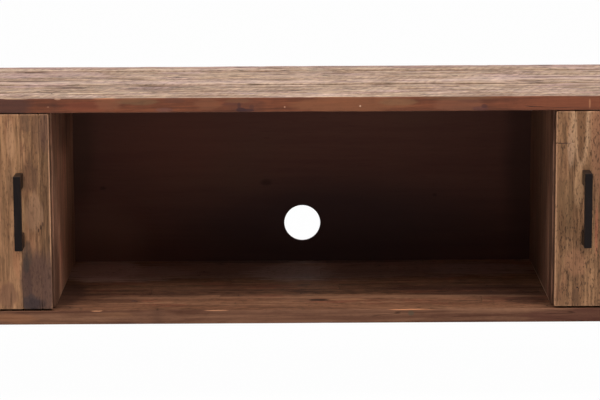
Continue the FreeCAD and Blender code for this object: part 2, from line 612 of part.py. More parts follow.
# Catches: a plastic housing with a magnet on each divider, and a steel strike plate on each door.
STRIKE_FACE = f"({DOOR_BACK} + Sizes.strike_thickness)"
CATCH_FRONT = f"({STRIKE_FACE} + Sizes.strike_gap)"
CATCH_BACK = f"({CATCH_FRONT} + Sizes.catch_depth)"
CATCH_OUT = f"({DIVIDER_OUT} + Sizes.catch_width)"
CATCH_FLANGE = f"({DIVIDER_OUT} + Sizes.catch_flange)"
CATCH_MID = f"(({CATCH_FLANGE} + {CATCH_OUT}) / 2)"
catch_screws = []
for name, hand in HANDS:
    flange = block(f"{name}_catch_flange", mirror_span(hand, DIVIDER_OUT, CATCH_FLANGE),
                   (CATCH_FRONT, CATCH_BACK), centred(DOOR_MID, "Sizes.catch_flange_length"))
    case = block(f"{name}_catch_case", mirror_span(hand, CATCH_FLANGE, CATCH_OUT), (CATCH_FRONT, CATCH_BACK),
                 centred(DOOR_MID, "Sizes.catch_case_length"))
    pocket_length = "(Sizes.catch_case_length - 2 * Sizes.catch_wall)"
    pocket_back = f"{CATCH_BACK} - Sizes.catch_wall"
    pocket = block(f"{name}_catch_pocket",
                   mirror_span(hand, CATCH_FLANGE, f"{CATCH_OUT} - Sizes.catch_wall"),
                   (CATCH_FRONT, pocket_back), centred(DOOR_MID, pocket_length))
    holes = []
    for i, side in enumerate((-1, 1)):
        spot = (None, f"({CATCH_FRONT} + {CATCH_BACK}) / 2", f"{DOOR_MID} + {side} * Sizes.catch_screw_pitch / 2")
        face = mirror_at(hand, CATCH_FLANGE)
        screw = f"{name}_catch_screw_{i}"
        catch_screws.append(flat_screw(screw, "x", spot, face, -hand, "catch_screw"))
        holes.append(flat_screw(f"{screw}_hole", "x", spot, face, -hand, "catch_screw", room=True))
    upright_holes[f"{name}_divider"] += holes
    housing = fuse(f"{name}_catch_blank", [flange, case])
    node(cut(f"{name}_catch", housing, [pocket] + holes), f"{name}_catch_housing")
    magnet = block(f"{name}_magnet",
                   mirror_span(hand, CATCH_FLANGE, f"{CATCH_OUT} - Sizes.catch_wall - Sizes.catch_fit"),
                   (CATCH_FRONT, f"{pocket_back} - Sizes.catch_fit"),
                   centred(DOOR_MID, f"{pocket_length} - 2 * Sizes.catch_fit"))
    node(magnet, f"{name}_catch_magnet")
    strike_spot = (mirror_at(hand, CATCH_MID), None, DOOR_MID)
    strike_blank = block(f"{name}_strike_blank", centred(mirror_at(hand, CATCH_MID), "Sizes.strike_width"),
                         (DOOR_BACK, STRIKE_FACE), centred(DOOR_MID, "Sizes.strike_length"))
    strike_hole = flat_screw(f"{name}_strike_hole", "y", strike_spot, STRIKE_FACE, -1, "strike_screw", room=True)
    door_holes[name].append(strike_hole)
    node(cut(f"{name}_strike", strike_blank, [strike_hole]), f"{name}_strike_plate")
    node(flat_screw(f"{name}_strike_fixing", "y", strike_spot, STRIKE_FACE, -1, "strike_screw"),
         f"{name}_strike_screw")
node(group("CatchScrews", catch_screws), "catch_screws")

# Uprights: end panels with a rebate for the back panel, dividers that stop in front of it.
for name, hand in HANDS:
    side = block(f"{name}_side_board", mirror_span(hand, SIDE_IN, SIDE_OUT), (EDGE, BACK), (FLOOR, CEILING))
    rebate = block(f"{name}_side_rebate", mirror_span(hand, SIDE_IN, PANEL_END), (PANEL_FRONT, BACK),
                   (FLOOR, CEILING))
    rebated = cut(f"{name}_side_rebated", side, [rebate])
    node(cut(f"{name}_side_panel", rebated, upright_holes[f"{name}_side"]), f"{name}_side_panel")
    divider = block(f"{name}_divider_board", mirror_span(hand, DIVIDER_IN, DIVIDER_OUT), (EDGE, PANEL_FRONT),
                    (FLOOR, CEILING))
    node(cut(f"{name}_divider_panel", divider, upright_holes[f"{name}_divider"]), f"{name}_divider")

# Doors: a glued panel each, with a square bar pull near the free edge and two soft bumpers.
POST_MID = "(Sizes.pull_length / 2 - Sizes.pull_post_height / 2)"
PULL_MID = f"({DOOR_MID} + Sizes.pull_rise)"
PULL_LOW = f"({PULL_MID} - Sizes.pull_length / 2)"


def bar_pull(name, x):
    """A square bar with solid ends, cut from one profile, edges eased, tapped from behind."""
    body = doc.addObject("PartDesign::Body", name)
    sketch = sketch_on(body, "YZ_Plane", f"{name}_profile")
    out = "Sizes.pull_projection"
    bar = "Sizes.pull_bar_thickness"
    post = "Sizes.pull_post_height"
    far = "Sizes.pull_length"
    far_post = f"({far} - {post})"
    outline(sketch, "bar", (("0", "0"), (out, "0"), (out, post), (bar, post), (bar, far_post), (out, far_post),
                            (out, far), ("0", far)))
    raised = pad(body, sketch, "Sizes.pull_width")
    seat = raised.Shape.BoundBox.YMax
    eased = []
    for i, edge in enumerate(raised.Shape.Edges, 1):
        if edge.BoundBox.YMin < seat - 1e-6:
            eased.append(f"Edge{i}")
    rounding = body.newObject("PartDesign::Fillet", f"{name}_edges")
    rounding.Base = (raised, eased)
    rounding.setExpression("Radius", "Sizes.pull_edge_radius")
    doc.recompute()
    taps = sketch_on(body, "XZ_Plane", f"{name}_taps")
    taps.setExpression("AttachmentOffset.Base.z", f"-{out}")
    for end, height in (("low", f"{post} / 2"), ("high", f"{far} - {post} / 2")):
        circle(taps, end, "Sizes.pull_width / 2", height, "Sizes.pull_screw_diameter / 2 + Sizes.hole_fit")
    tapped = body.newObject("PartDesign::Pocket", f"{name}_tapped")
    tapped.Profile = taps
    tapped.Reversed = True
    tapped.setExpression("Length", "Sizes.pull_screw_length - Sizes.door_thickness + Sizes.hole_end_room")
    doc.recompute()
    if tapped.Shape.Volume > rounding.Shape.Volume - 1:
        raise RuntimeError(f"{name}: the tapped holes cut nothing")
    place(body, f"{x} - Sizes.pull_width / 2", f"{DOOR_FRONT} - {out}", PULL_LOW)
    return body


for name, hand in HANDS:
    pull_x = mirror_at(hand, PULL_X)
    node(bar_pull(f"{name}_pull_bar", pull_x), f"{name}_pull")
    pull_screws = []
    for end, side in (("low", -1), ("high", 1)):
        spot = (pull_x, None, f"{PULL_MID} + {side} * {POST_MID}")
        screw = f"{name}_pull_screw_{end}"
        pull_screws.append(pan_screw(screw, "y", spot, DOOR_BACK, -1, "pull_screw"))
        door_holes[name].append(pan_hole(f"{screw}_hole", "y", spot, DOOR_BACK, -1, "pull_screw"))
    node(group(f"{name}_pull_screw_pair", pull_screws), f"{name}_pull_screws")
    board = block(f"{name}_door_board", mirror_span(hand, DOOR_FREE, SIDE_OUT), (DOOR_FRONT, DOOR_BACK),
                  (DOOR_LOW, DOOR_HIGH))
    node(cut(f"{name}_door", board, door_holes[name]), f"{name}_door_panel")
    bumpers = []
    bumper_end = f"({EDGE} - Sizes.bumper_gap)"
    bumper_waist = f"(({DOOR_BACK} + {bumper_end}) / 2)"
    for end, z in (("lower", f"({DOOR_LOW} + Sizes.bumper_margin)"),
                   ("upper", f"({DOOR_HIGH} - Sizes.bumper_margin)")):
        spot = (mirror_at(hand, DIVIDER_MID), None, z)
        base = turned(f"{name}_{end}_bumper_base", "y", spot, (DOOR_BACK, bumper_waist),
                      "Sizes.bumper_diameter / 2")
        tip = turned(f"{name}_{end}_bumper_tip", "y", spot, (bumper_waist, bumper_end),
                     "Sizes.bumper_diameter / 2", "Sizes.bumper_top_diameter / 2")
        bumpers.append(fuse(f"{name}_{end}_bumper", [base, tip]))
    node(group(f"{name}_bumper_pair", bumpers), f"{name}_door_bumpers")

doc.recompute()
faulty = [piece.Label for piece in doc.Objects if {"Invalid", "Error"} & set(piece.State)]
faulty += [piece.Label for piece in nodes if piece.Shape.isNull() or not piece.Shape.isValid()]
if faulty:
    raise RuntimeError(f"pieces that failed: {faulty}")

os.makedirs("parts", exist_ok=True)
for piece in nodes:
    piece.Shape.exportStep(os.path.join("parts", f"{piece.Label}.step"))
print(len(nodes), "nodes,", sum(len(piece.Shape.Solids) for piece in nodes), "solids")
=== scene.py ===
import math
import random

import bmesh
import bpy
from mathutils import Euler, Matrix, Vector


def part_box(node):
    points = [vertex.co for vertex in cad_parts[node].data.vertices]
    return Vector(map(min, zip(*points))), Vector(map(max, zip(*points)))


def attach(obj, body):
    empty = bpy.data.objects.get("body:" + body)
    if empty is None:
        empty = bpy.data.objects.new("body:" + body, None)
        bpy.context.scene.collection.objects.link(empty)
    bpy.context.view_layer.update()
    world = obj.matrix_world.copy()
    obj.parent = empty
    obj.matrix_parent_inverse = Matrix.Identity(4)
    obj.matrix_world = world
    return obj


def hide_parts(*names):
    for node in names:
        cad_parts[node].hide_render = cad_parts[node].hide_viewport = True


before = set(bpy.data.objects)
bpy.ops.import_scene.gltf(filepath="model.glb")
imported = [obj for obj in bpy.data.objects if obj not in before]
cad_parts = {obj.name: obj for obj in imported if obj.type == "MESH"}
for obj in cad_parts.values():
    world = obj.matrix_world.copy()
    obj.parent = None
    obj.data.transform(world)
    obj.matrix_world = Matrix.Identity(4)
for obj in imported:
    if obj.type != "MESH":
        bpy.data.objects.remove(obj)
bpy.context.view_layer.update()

# Leg frames: square steel tube welded into a sled under each end, powder coated black.
# A flat bar on top takes the screws, plastic caps close the runner, felt glides save the floor.


class Signal:
    """A socket of a node tree. Arithmetic on it adds Math nodes to the same tree."""

    def __init__(self, tree, socket=None):
        self.tree = tree
        self.socket = socket

    def node(self, kind, sockets=(), output=0, **settings):
        """Any node: its type, its settings, then the values or links of its sockets."""
        made = self.tree.nodes.new(kind)
        for name, value in settings.items():
            setattr(made, name, value)
        for key, value in dict(sockets).items():
            if isinstance(value, Signal):
                self.tree.links.new(value.socket, made.inputs[key])
            else:
                made.inputs[key].default_value = value
        return Signal(self.tree, made.outputs[output] if len(made.outputs) else None)

    def math(self, operation, *values):
        return self.node("ShaderNodeMath", enumerate(values), operation=operation)

    def __add__(self, other):
        return self.math("ADD", self, other)

    def __radd__(self, other):
        return self.math("ADD", other, self)

    def __sub__(self, other):
        return self.math("SUBTRACT", self, other)

    def __rsub__(self, other):
        return self.math("SUBTRACT", other, self)

    def __mul__(self, other):
        return self.math("MULTIPLY", self, other)

    def __rmul__(self, other):
        return self.math("MULTIPLY", other, self)

    def __truediv__(self, other):
        return self.math("DIVIDE", self, other)

    def __pow__(self, power):
        return self.math("POWER", self, power)

    def __abs__(self):
        return self.math("ABSOLUTE", self)

    def least(self, other):
        return self.math("MINIMUM", self, other)

    def most(self, other):
        return self.math("MAXIMUM", self, other)

    def step(self, low, high):
        """0 below low, 1 above high, smooth between."""
        sockets = {0: self, 1: low, 2: high, 3: 0.0, 4: 1.0}
        return self.node("ShaderNodeMapRange", sockets, interpolation_type="SMOOTHSTEP")

    def stretched(self, *factors):
        """A place with its coordinates multiplied, so that a pattern gets longer or finer."""
        return self.node("ShaderNodeVectorMath", {0: self, 1: factors}, operation="MULTIPLY")

    def moved(self, other):
        """A vector added to this one."""
        return self.node("ShaderNodeVectorMath", {0: self, 1: other}, operation="ADD")

    def scaled(self, factor):
        """A vector times one value."""
        return self.node("ShaderNodeVectorMath", {0: self, "Scale": factor}, operation="SCALE")

    def axis(self, index):
        """One coordinate of a vector."""
        return self.node("ShaderNodeSeparateXYZ", {0: self}, output=index)

    def noise(self, scale=1.0, detail=2.0, rough=0.5, distort=0.0):
        """Cloudy noise at this place, between 0 and 1."""
        sockets = {"Vector": self, "Scale": scale, "Detail": detail, "Roughness": rough,
                   "Distortion": distort}
        return self.node("ShaderNodeTexNoise", sockets)

    def tint(self, start, end):
        """From one colour to another as this value goes from 0 to 1."""
        return self.node("ShaderNodeMix", {0: self, 6: start, 7: end}, output=2, data_type="RGBA")


def paint(red, green, blue):
    """A colour as it looks on a screen, 0 to 255, turned into the linear values that light uses."""
    return tuple(((c / 255 + 0.055) / 1.055) ** 2.4 for c in (red, green, blue)) + (1.0,)


def surface(name):
    """A new material and a way into its empty node tree."""
    made = bpy.data.materials.new(name)
    made.use_nodes = True
    made.node_tree.nodes.clear()
    return made, Signal(made.node_tree)


def close(tree, colour, rough, height=None, depth=0.0005, strength=1.0, **constants):
    """The shader of a solid surface, with its relief, and the material's end."""
    sockets = {"Base Color": colour, "Roughness": rough}
    sockets.update({key.replace("_", " "): value for key, value in constants.items()})
    if height is not None:
        relief = {"Height": height, "Distance": depth, "Strength": strength}
        sockets["Normal"] = tree.node("ShaderNodeBump", relief)
    shader = tree.node("ShaderNodeBsdfPrincipled", sockets)
    tree.node("ShaderNodeOutputMaterial", {"Surface": shader})


def object_place(tree):
    """The place of a point of the stand, in metres."""
    return tree.node("ShaderNodeTexCoord", output="Object")


def finish(material, *names):
    """Give CAD nodes a better material."""
    for name in names:
        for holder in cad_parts[name].material_slots:
            holder.material = material


def both(*endings):
    """The names of left and right pieces."""
    return [f"{hand}_{ending}" for hand in ("left", "right") for ending in endings]


powder_coat, tree = surface("black_powder_coat")
place = object_place(tree)
peel = place.noise(scale=650.0, detail=2.0)
dust = place.noise(scale=16.0, detail=4.0, rough=0.6).step(0.42, 0.78)
coat_colour = dust.tint(paint(18, 17, 17), paint(37, 35, 34))
close(tree, coat_colour, 0.40 + dust * 0.22, peel, depth=0.0002, strength=0.5)
finish(powder_coat, *both("leg_plate", "leg_front_post", "leg_rear_post", "leg_runner"))

moulded_black, tree = surface("moulded_black_plastic")
place = object_place(tree)
sparks = place.noise(scale=1500.0, detail=1.0)
handling = place.noise(scale=60.0, detail=3.0).step(0.4, 0.7)
plastic_colour = handling.tint(paint(24, 24, 25), paint(40, 39, 39))
close(tree, plastic_colour, 0.45 + handling * 0.18, sparks, depth=0.0001, strength=0.6)
finish(moulded_black, "runner_end_caps")

pressed_felt, tree = surface("pressed_felt")
place = object_place(tree)
hairs = place.noise(scale=2600.0, detail=4.0, rough=0.75, distort=1.5)
felt_colour = hairs.step(0.3, 0.7).tint(paint(48, 43, 40), paint(92, 85, 80))
close(tree, felt_colour, 0.95, hairs, depth=0.0006)
finish(pressed_felt, "floor_glides")


def growth(name, **kinds):
    """A new Geometry Nodes tree with named inputs. Gives a way into it, and its inputs by name."""
    made = bpy.data.node_groups.new(name, "GeometryNodeTree")
    made.interface.new_socket("Geometry", in_out="INPUT", socket_type="NodeSocketGeometry")
    for label, kind in kinds.items():
        made.interface.new_socket(label, in_out="INPUT", socket_type=f"NodeSocket{kind}")
    made.interface.new_socket("Geometry", in_out="OUTPUT", socket_type="NodeSocketGeometry")
    handle = Signal(made)
    return handle, {label: handle.node("NodeGroupInput", output=label) for label in ("Geometry", *kinds)}


def ripen(tree, geometry, material):
    """The end of a tree: real faces with their material."""
    real = tree.node("GeometryNodeRealizeInstances", {"Geometry": geometry})
    coated = tree.node("GeometryNodeSetMaterial", {"Geometry": real, "Material": material})
    tree.node("NodeGroupOutput", {"Geometry": coated})
    return tree.tree


def grow(name, tree, points, inputs, **layers):
    """Run a tree on points with attributes, and keep the result as a plain mesh at the origin."""
    seedbed = bpy.data.meshes.new(f"{name}_points")
    seedbed.from_pydata([tuple(point) for point in points], [], [])
    for label, values in layers.items():
        if isinstance(values[0], (int, float)):
            seedbed.attributes.new(label, "FLOAT", "POINT").data.foreach_set("value", values)
        else:
            flat = [part for value in values for part in value]
            seedbed.attributes.new(label, "FLOAT_VECTOR", "POINT").data.foreach_set("vector", flat)
    piece = bpy.data.objects.new(name, seedbed)
    grower = piece.modifiers.new("grower", "NODES")
    grower.node_group = tree
    for socket in tree.interface.items_tree:
        if socket.in_out == "INPUT" and socket.name in inputs:
            grower[socket.identifier] = inputs[socket.name]
    bpy.context.scene.collection.objects.link(piece)
    graph = bpy.context.evaluated_depsgraph_get()
    ready = piece.evaluated_get(graph)
    grown = bpy.data.meshes.new_from_object(ready, preserve_all_data_layers=True, depsgraph=graph)
    grown.name = name
    piece.modifiers.clear()
    piece.data = grown
    bpy.data.meshes.remove(seedbed)
    return piece


# A bead goes round the tube in rings of a few points. The weld pool ripples from ring to ring, by a share
# of the bead's radius.
BEAD_RINGS = 96
BEAD_POINTS = 8
RIPPLE_TURN = 1.7
RIPPLE_SHARE = 0.22
tree, given = growth("weld_beads", side="Float", corner="Float", bead="Float", material="Material")
square = tree.node("GeometryNodeCurvePrimitiveQuadrilateral",
                   {"Width": given["side"], "Height": given["side"]})
rounded = tree.node("GeometryNodeFilletCurve",
                    {"Curve": square, "Count": 5, "Radius": given["corner"]}, mode="POLY")
even = tree.node("GeometryNodeResampleCurve", {"Curve": rounded, "Count": BEAD_RINGS}, mode="COUNT")
profile = tree.node("GeometryNodeCurvePrimitiveCircle",
                    {"Resolution": BEAD_POINTS, "Radius": given["bead"]})
loop = tree.node("GeometryNodeCurveToMesh", {"Curve": even, "Profile Curve": profile})
turn = tree.node("GeometryNodeInputIndex") / float(BEAD_POINTS)
puddle = turn.math("FLOOR", turn) * RIPPLE_TURN
swell = puddle.math("SINE", puddle) * given["bead"] * RIPPLE_SHARE
rippled = tree.node("GeometryNodeSetPosition",
                    {"Geometry": loop, "Offset": tree.node("GeometryNodeInputNormal").scaled(swell)})
smooth = tree.node("GeometryNodeSetShadeSmooth", {"Geometry": rippled})
beads = tree.node("GeometryNodeInstanceOnPoints", {"Points": given["Geometry"], "Instance": smooth})
weld_beads = ripen(tree, beads, given["material"])
tube_joints = []
for post in both("leg_front_post", "leg_rear_post"):
    low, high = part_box(post)
    middle = (low + high) / 2
    tube_joints.append((middle.x, middle.y, low.z))
    tube_joints.append((middle.x, middle.y, high.z))
WELD = {"side": 0.0296, "corner": 0.003, "bead": 0.0017, "material": powder_coat}
welds = grow("leg_welds", weld_beads, tube_joints, WELD)
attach(welds, "carcass")

zinc_plate, tree = surface("zinc_plate")
place = object_place(tree)
turning = place.noise(scale=900.0, detail=2.0)
bloom = place.noise(scale=240.0, detail=3.0).step(0.4, 0.75)
zinc_colour = bloom.tint(paint(196, 197, 196), paint(150, 149, 143))
close(tree, zinc_colour, 0.30 + bloom * 0.25, turning, depth=0.00006, strength=0.4, Metallic=1.0)

# The cross recess is cut by two blades: half length and half width as shares of the head's radius, and twice
# the depth as a share of the head's height. Unequal depths keep their floors apart.
RECESS_BLADES = ((0.62, 0.17, 1.2), (0.17, 0.62, 1.1))
SPIN_SEED = 7
tree, given = growth("cross_head_screws", top_radius="Float", under_radius="Float", head_height="Float",
                     shank_radius="Float", length="Float", material="Material")
head = tree.node("GeometryNodeMeshCone",
                 {"Vertices": 32, "Side Segments": 3, "Radius Top": given["top_radius"],
                  "Radius Bottom": given["under_radius"], "Depth": given["head_height"]})
for along, across, double_depth in RECESS_BLADES:
    bit = tree.node("ShaderNodeCombineXYZ",
                    {0: given["top_radius"] * (2 * along), 1: given["top_radius"] * (2 * across),
                     2: given["head_height"] * double_depth})
    blade = tree.node("GeometryNodeMeshCube", {"Size": bit})
    raised = tree.node("ShaderNodeCombineXYZ", {2: given["head_height"]})
    blade = tree.node("GeometryNodeTransform", {"Geometry": blade, "Translation": raised})
    head = tree.node("GeometryNodeMeshBoolean", {"Mesh 1": head, "Mesh 2": blade}, operation="DIFFERENCE")
sunk = tree.node("ShaderNodeCombineXYZ", {2: given["head_height"] * -1.0})
head = tree.node("GeometryNodeTransform", {"Geometry": head, "Translation": sunk})
shank = tree.node("GeometryNodeMeshCylinder",
                  {"Vertices": 16, "Radius": given["shank_radius"],
                   "Depth": given["length"] - given["head_height"]})
under_head = tree.node("ShaderNodeCombineXYZ", {2: (given["length"] + given["head_height"]) * -0.5})
shank = tree.node("GeometryNodeTransform", {"Geometry": shank, "Translation": under_head})
screw = tree.node("GeometryNodeJoinGeometry", {"Geometry": head})
tree.tree.links.new(shank.socket, screw.socket.node.inputs[0])
spin = tree.node("FunctionNodeRandomValue", {2: 0.0, 3: 3.1, "Seed": SPIN_SEED}, output=1, data_type="FLOAT")
twist = tree.node("FunctionNodeEulerToRotation", {0: tree.node("ShaderNodeCombineXYZ", {2: spin})})
outward = tree.node("GeometryNodeInputNamedAttribute", {"Name": "outward"}, data_type="FLOAT_VECTOR")
aim = tree.node("FunctionNodeAlignRotationToVector", {"Rotation": twist, "Vector": outward}, axis="Z")
driven = tree.node("GeometryNodeInstanceOnPoints",
                   {"Points": given["Geometry"], "Instance": screw, "Rotation": aim})
cross_head_screws = ripen(tree, driven, given["material"])


def solids(name):
    """The corners of each separate solid of a CAD node, found in a merged copy of its mesh."""
    copy = bmesh.new()
    copy.from_mesh(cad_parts[name].data)
    bmesh.ops.remove_doubles(copy, verts=copy.verts, dist=1e-6)
    waiting = set(copy.verts)
    boxes = []
    while waiting:
        edge_of_island = [waiting.pop()]
        island = []
        while edge_of_island:
            vertex = edge_of_island.pop()
            island.append(vertex.co.copy())
            near = {edge.other_vert(vertex) for edge in vertex.link_edges} & waiting
            waiting -= near
            edge_of_island += near
        boxes.append([Vector(pick(point[k] for point in island) for k in range(3)) for pick in (min, max)])
    copy.free()
    return sorted(boxes, key=lambda box: [round(part, 4) for part in box[0]])


def drive_screws(node, outward, sizes, material, body):
    """Screws with cross recesses in place of a node of plain ones. Outward is where their heads face.

    Sizes in mm: radius of the head's top and of its underside, height of the head, radius of the shank.
    """
    spots = []
    directions = []
    for low, high in solids(node):
        middle = (low + high) / 2
        reach = (high - low) / 2
        way = Vector(outward)
        if way.x:
            way.x = math.copysign(way.x, middle.x)
        spots.append([middle[k] + way[k] * reach[k] for k in range(3)])
        directions.append(tuple(way))
        length = 2 * sum(abs(way[k]) * reach[k] for k in range(3))
    labels = ("top_radius", "under_radius", "head_height", "shank_radius")
    inputs = {label: size / 1000 for label, size in zip(labels, sizes)}
    inputs.update({"length": length, "material": material})
    piece = grow(f"{node}_driven", cross_head_screws, spots, inputs, outward=directions)
    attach(piece, body)
    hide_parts(node)


LEG_SCREW = (4.3, 2.25, 2.1, 2.25)
drive_screws("leg_screws", (0, 0, -1), LEG_SCREW, zinc_plate, "carcass")

# Bottom: old softwood strips glued into boards that run the whole length, butted end to end.
# Sanded, oiled and left with worn arrises; the uprights stand on it and the legs screw up into it.

tree, given = growth("reclaimed_boards", along="Int", across="Int", through="Int", grain_axis="Vector",
                     width_axis="Vector", thickness_axis="Vector", panel_low="Vector", panel_high="Vector",
                     seam="Float", arris="Float", chips="Float", sag="Float", weather="Float",
                     material="Material")


def stored(label, kind):
    """A named attribute in the tree that is being built."""
    return tree.node("GeometryNodeInputNamedAttribute", {"Name": label}, data_type=kind)


def keep(geometry, label, value, kind):
    """Write an attribute on the points of a geometry."""
    sockets = {"Geometry": geometry, "Name": label, "Value": value}
    return tree.node("GeometryNodeStoreNamedAttribute", sockets, data_type=kind, domain="POINT")


def luck_of(signal, seed):
    """A place moved by an amount that each board has of its own."""
    shift = signal.node("ShaderNodeCombineXYZ", {0: seed * 3.71, 1: seed * 1.37, 2: seed * 2.13})
    return signal.moved(shift)


def placed(distances):
    """A point of a board, from its distances along the grain, across it and through the board."""
    spot = stored("centre", "FLOAT_VECTOR")
    for axis, distance in zip(("grain_axis", "width_axis", "thickness_axis"), distances):
        spot = spot.moved(given[axis].scaled(distance))
    return spot


def furrows(own):
    """The soft grain that weather has worn away, 0 on the hard ridges and 1 in the hollows."""
    worn = own.stretched(12.0, 58.0, 58.0).noise(detail=4.0, rough=0.62)
    return (0.54 - worn).step(0.0, 0.15)


blank = tree.node("GeometryNodeMeshCube",
                  {"Size": (2.0, 2.0, 2.0), "Vertices X": given["along"],
                   "Vertices Y": given["across"], "Vertices Z": given["through"]})
blank = keep(blank, "unit", tree.node("GeometryNodeInputPosition"), "FLOAT_VECTOR")
laid = tree.node("GeometryNodeInstanceOnPoints", {"Points": given["Geometry"], "Instance": blank})
solid = tree.node("GeometryNodeRealizeInstances", {"Geometry": laid})
unit = stored("unit", "FLOAT_VECTOR")
size = stored("size", "FLOAT_VECTOR")
seed = stored("seed", "FLOAT")
half = [size.axis(k) * 0.5 for k in range(3)]
units = [unit.axis(k) for k in range(3)]
# The points crowd towards a board's edges, where its shape changes most: along, across and through it.
CROWDING = (1.25, 1.5, 1.5)
eased = [1.0 - (1.0 - abs(units[k])) ** CROWDING[k] for k in range(3)]
signs = [units[k].math("SIGN", units[k]) for k in range(3)]
flat = [signs[k] * eased[k] * half[k] for k in range(3)]
level = placed(flat)
gap = [(level.axis(k) - given["panel_low"].axis(k)).least(given["panel_high"].axis(k) - level.axis(k))
       for k in range(3)]
to_edge = gap[0].least(gap[1]).most(gap[0].most(gap[1]).least(gap[2]))
own = luck_of(tree.node("ShaderNodeCombineXYZ", dict(enumerate(flat))), seed)
lumps = own.stretched(11.0, 40.0, 40.0).noise(detail=2.0)
bites = own.stretched(24.0, 70.0, 70.0).noise(detail=2.0).step(0.56, 0.74)
bare = 1.0 - to_edge.step(0.003, 0.012)
worn_radius = given["arris"] * (0.35 + lumps * 1.1) + given["chips"] * bites
radius = bare * worn_radius + given["seam"] * (0.4 + lumps)
over = [(abs(flat[k]) - (half[k] - radius)).most(0.0) for k in range(3)]
overhang = (over[0] * over[0] + over[1] * over[1] + over[2] * over[2]) ** 0.5
pull_in = radius / overhang.most(0.000001)
shaped = [signs[k] * (abs(flat[k]).least(half[k] - radius) + over[k] * pull_in.least(1.0))
          for k in range(3)]
bow = own.stretched(5.0, 15.0, 15.0).noise(detail=2.0) * given["sag"]
shaped[1] = shaped[1] - units[1] ** 3.0 * bow
worn_away = furrows(own) * given["weather"] * (0.3 + to_edge.step(0.003, 0.03) * 0.7)
shaped[2] = shaped[2] - units[2] ** 3.0 * (bow + worn_away)
formed = tree.node("GeometryNodeSetPosition", {"Geometry": solid, "Position": placed(shaped)})
formed = keep(formed, "grain", tree.node("ShaderNodeCombineXYZ", dict(enumerate(flat))), "FLOAT_VECTOR")
formed = keep(formed, "arris", 1.0 - to_edge.step(0.0, 0.004), "FLOAT")
formed = keep(formed, "butt", 1.0 - (half[0] - abs(flat[0])).step(0.0, 0.004), "FLOAT")
for label in ("unit", "size", "centre"):
    formed = tree.node("GeometryNodeRemoveAttribute", {"Geometry": formed, "Name": label})
formed = tree.node("GeometryNodeSetShadeSmooth", {"Geometry": formed})
reclaimed_boards = ripen(tree, formed, given["material"])

ALONG_LENGTH = {"grain_axis": (1, 0, 0), "width_axis": (0, 1, 0), "thickness_axis": (0, 0, 1)}


def lay(name, boards, panel, counts, axes, wear, material):
    """Boards of a panel as one piece. A board: centre, size, seed and tone.

    Counts are the points along, across and through a board.
    Wear in mm: radius of the seams and of the outer arrises, chips, sag of the faces, depth of the furrows.
    """
    inputs = dict(zip(("along", "across", "through"), counts))
    inputs.update(axes)
    inputs.update(zip(("panel_low", "panel_high"), (tuple(corner) for corner in panel)))
    inputs.update(zip(("seam", "arris", "chips", "sag", "weather"), (value / 1000 for value in wear)))
    inputs["material"] = material
    centres, sizes, seeds, tones = zip(*boards)
    return grow(name, reclaimed_boards, centres, inputs, centre=centres, size=sizes, seed=seeds, tone=tones)


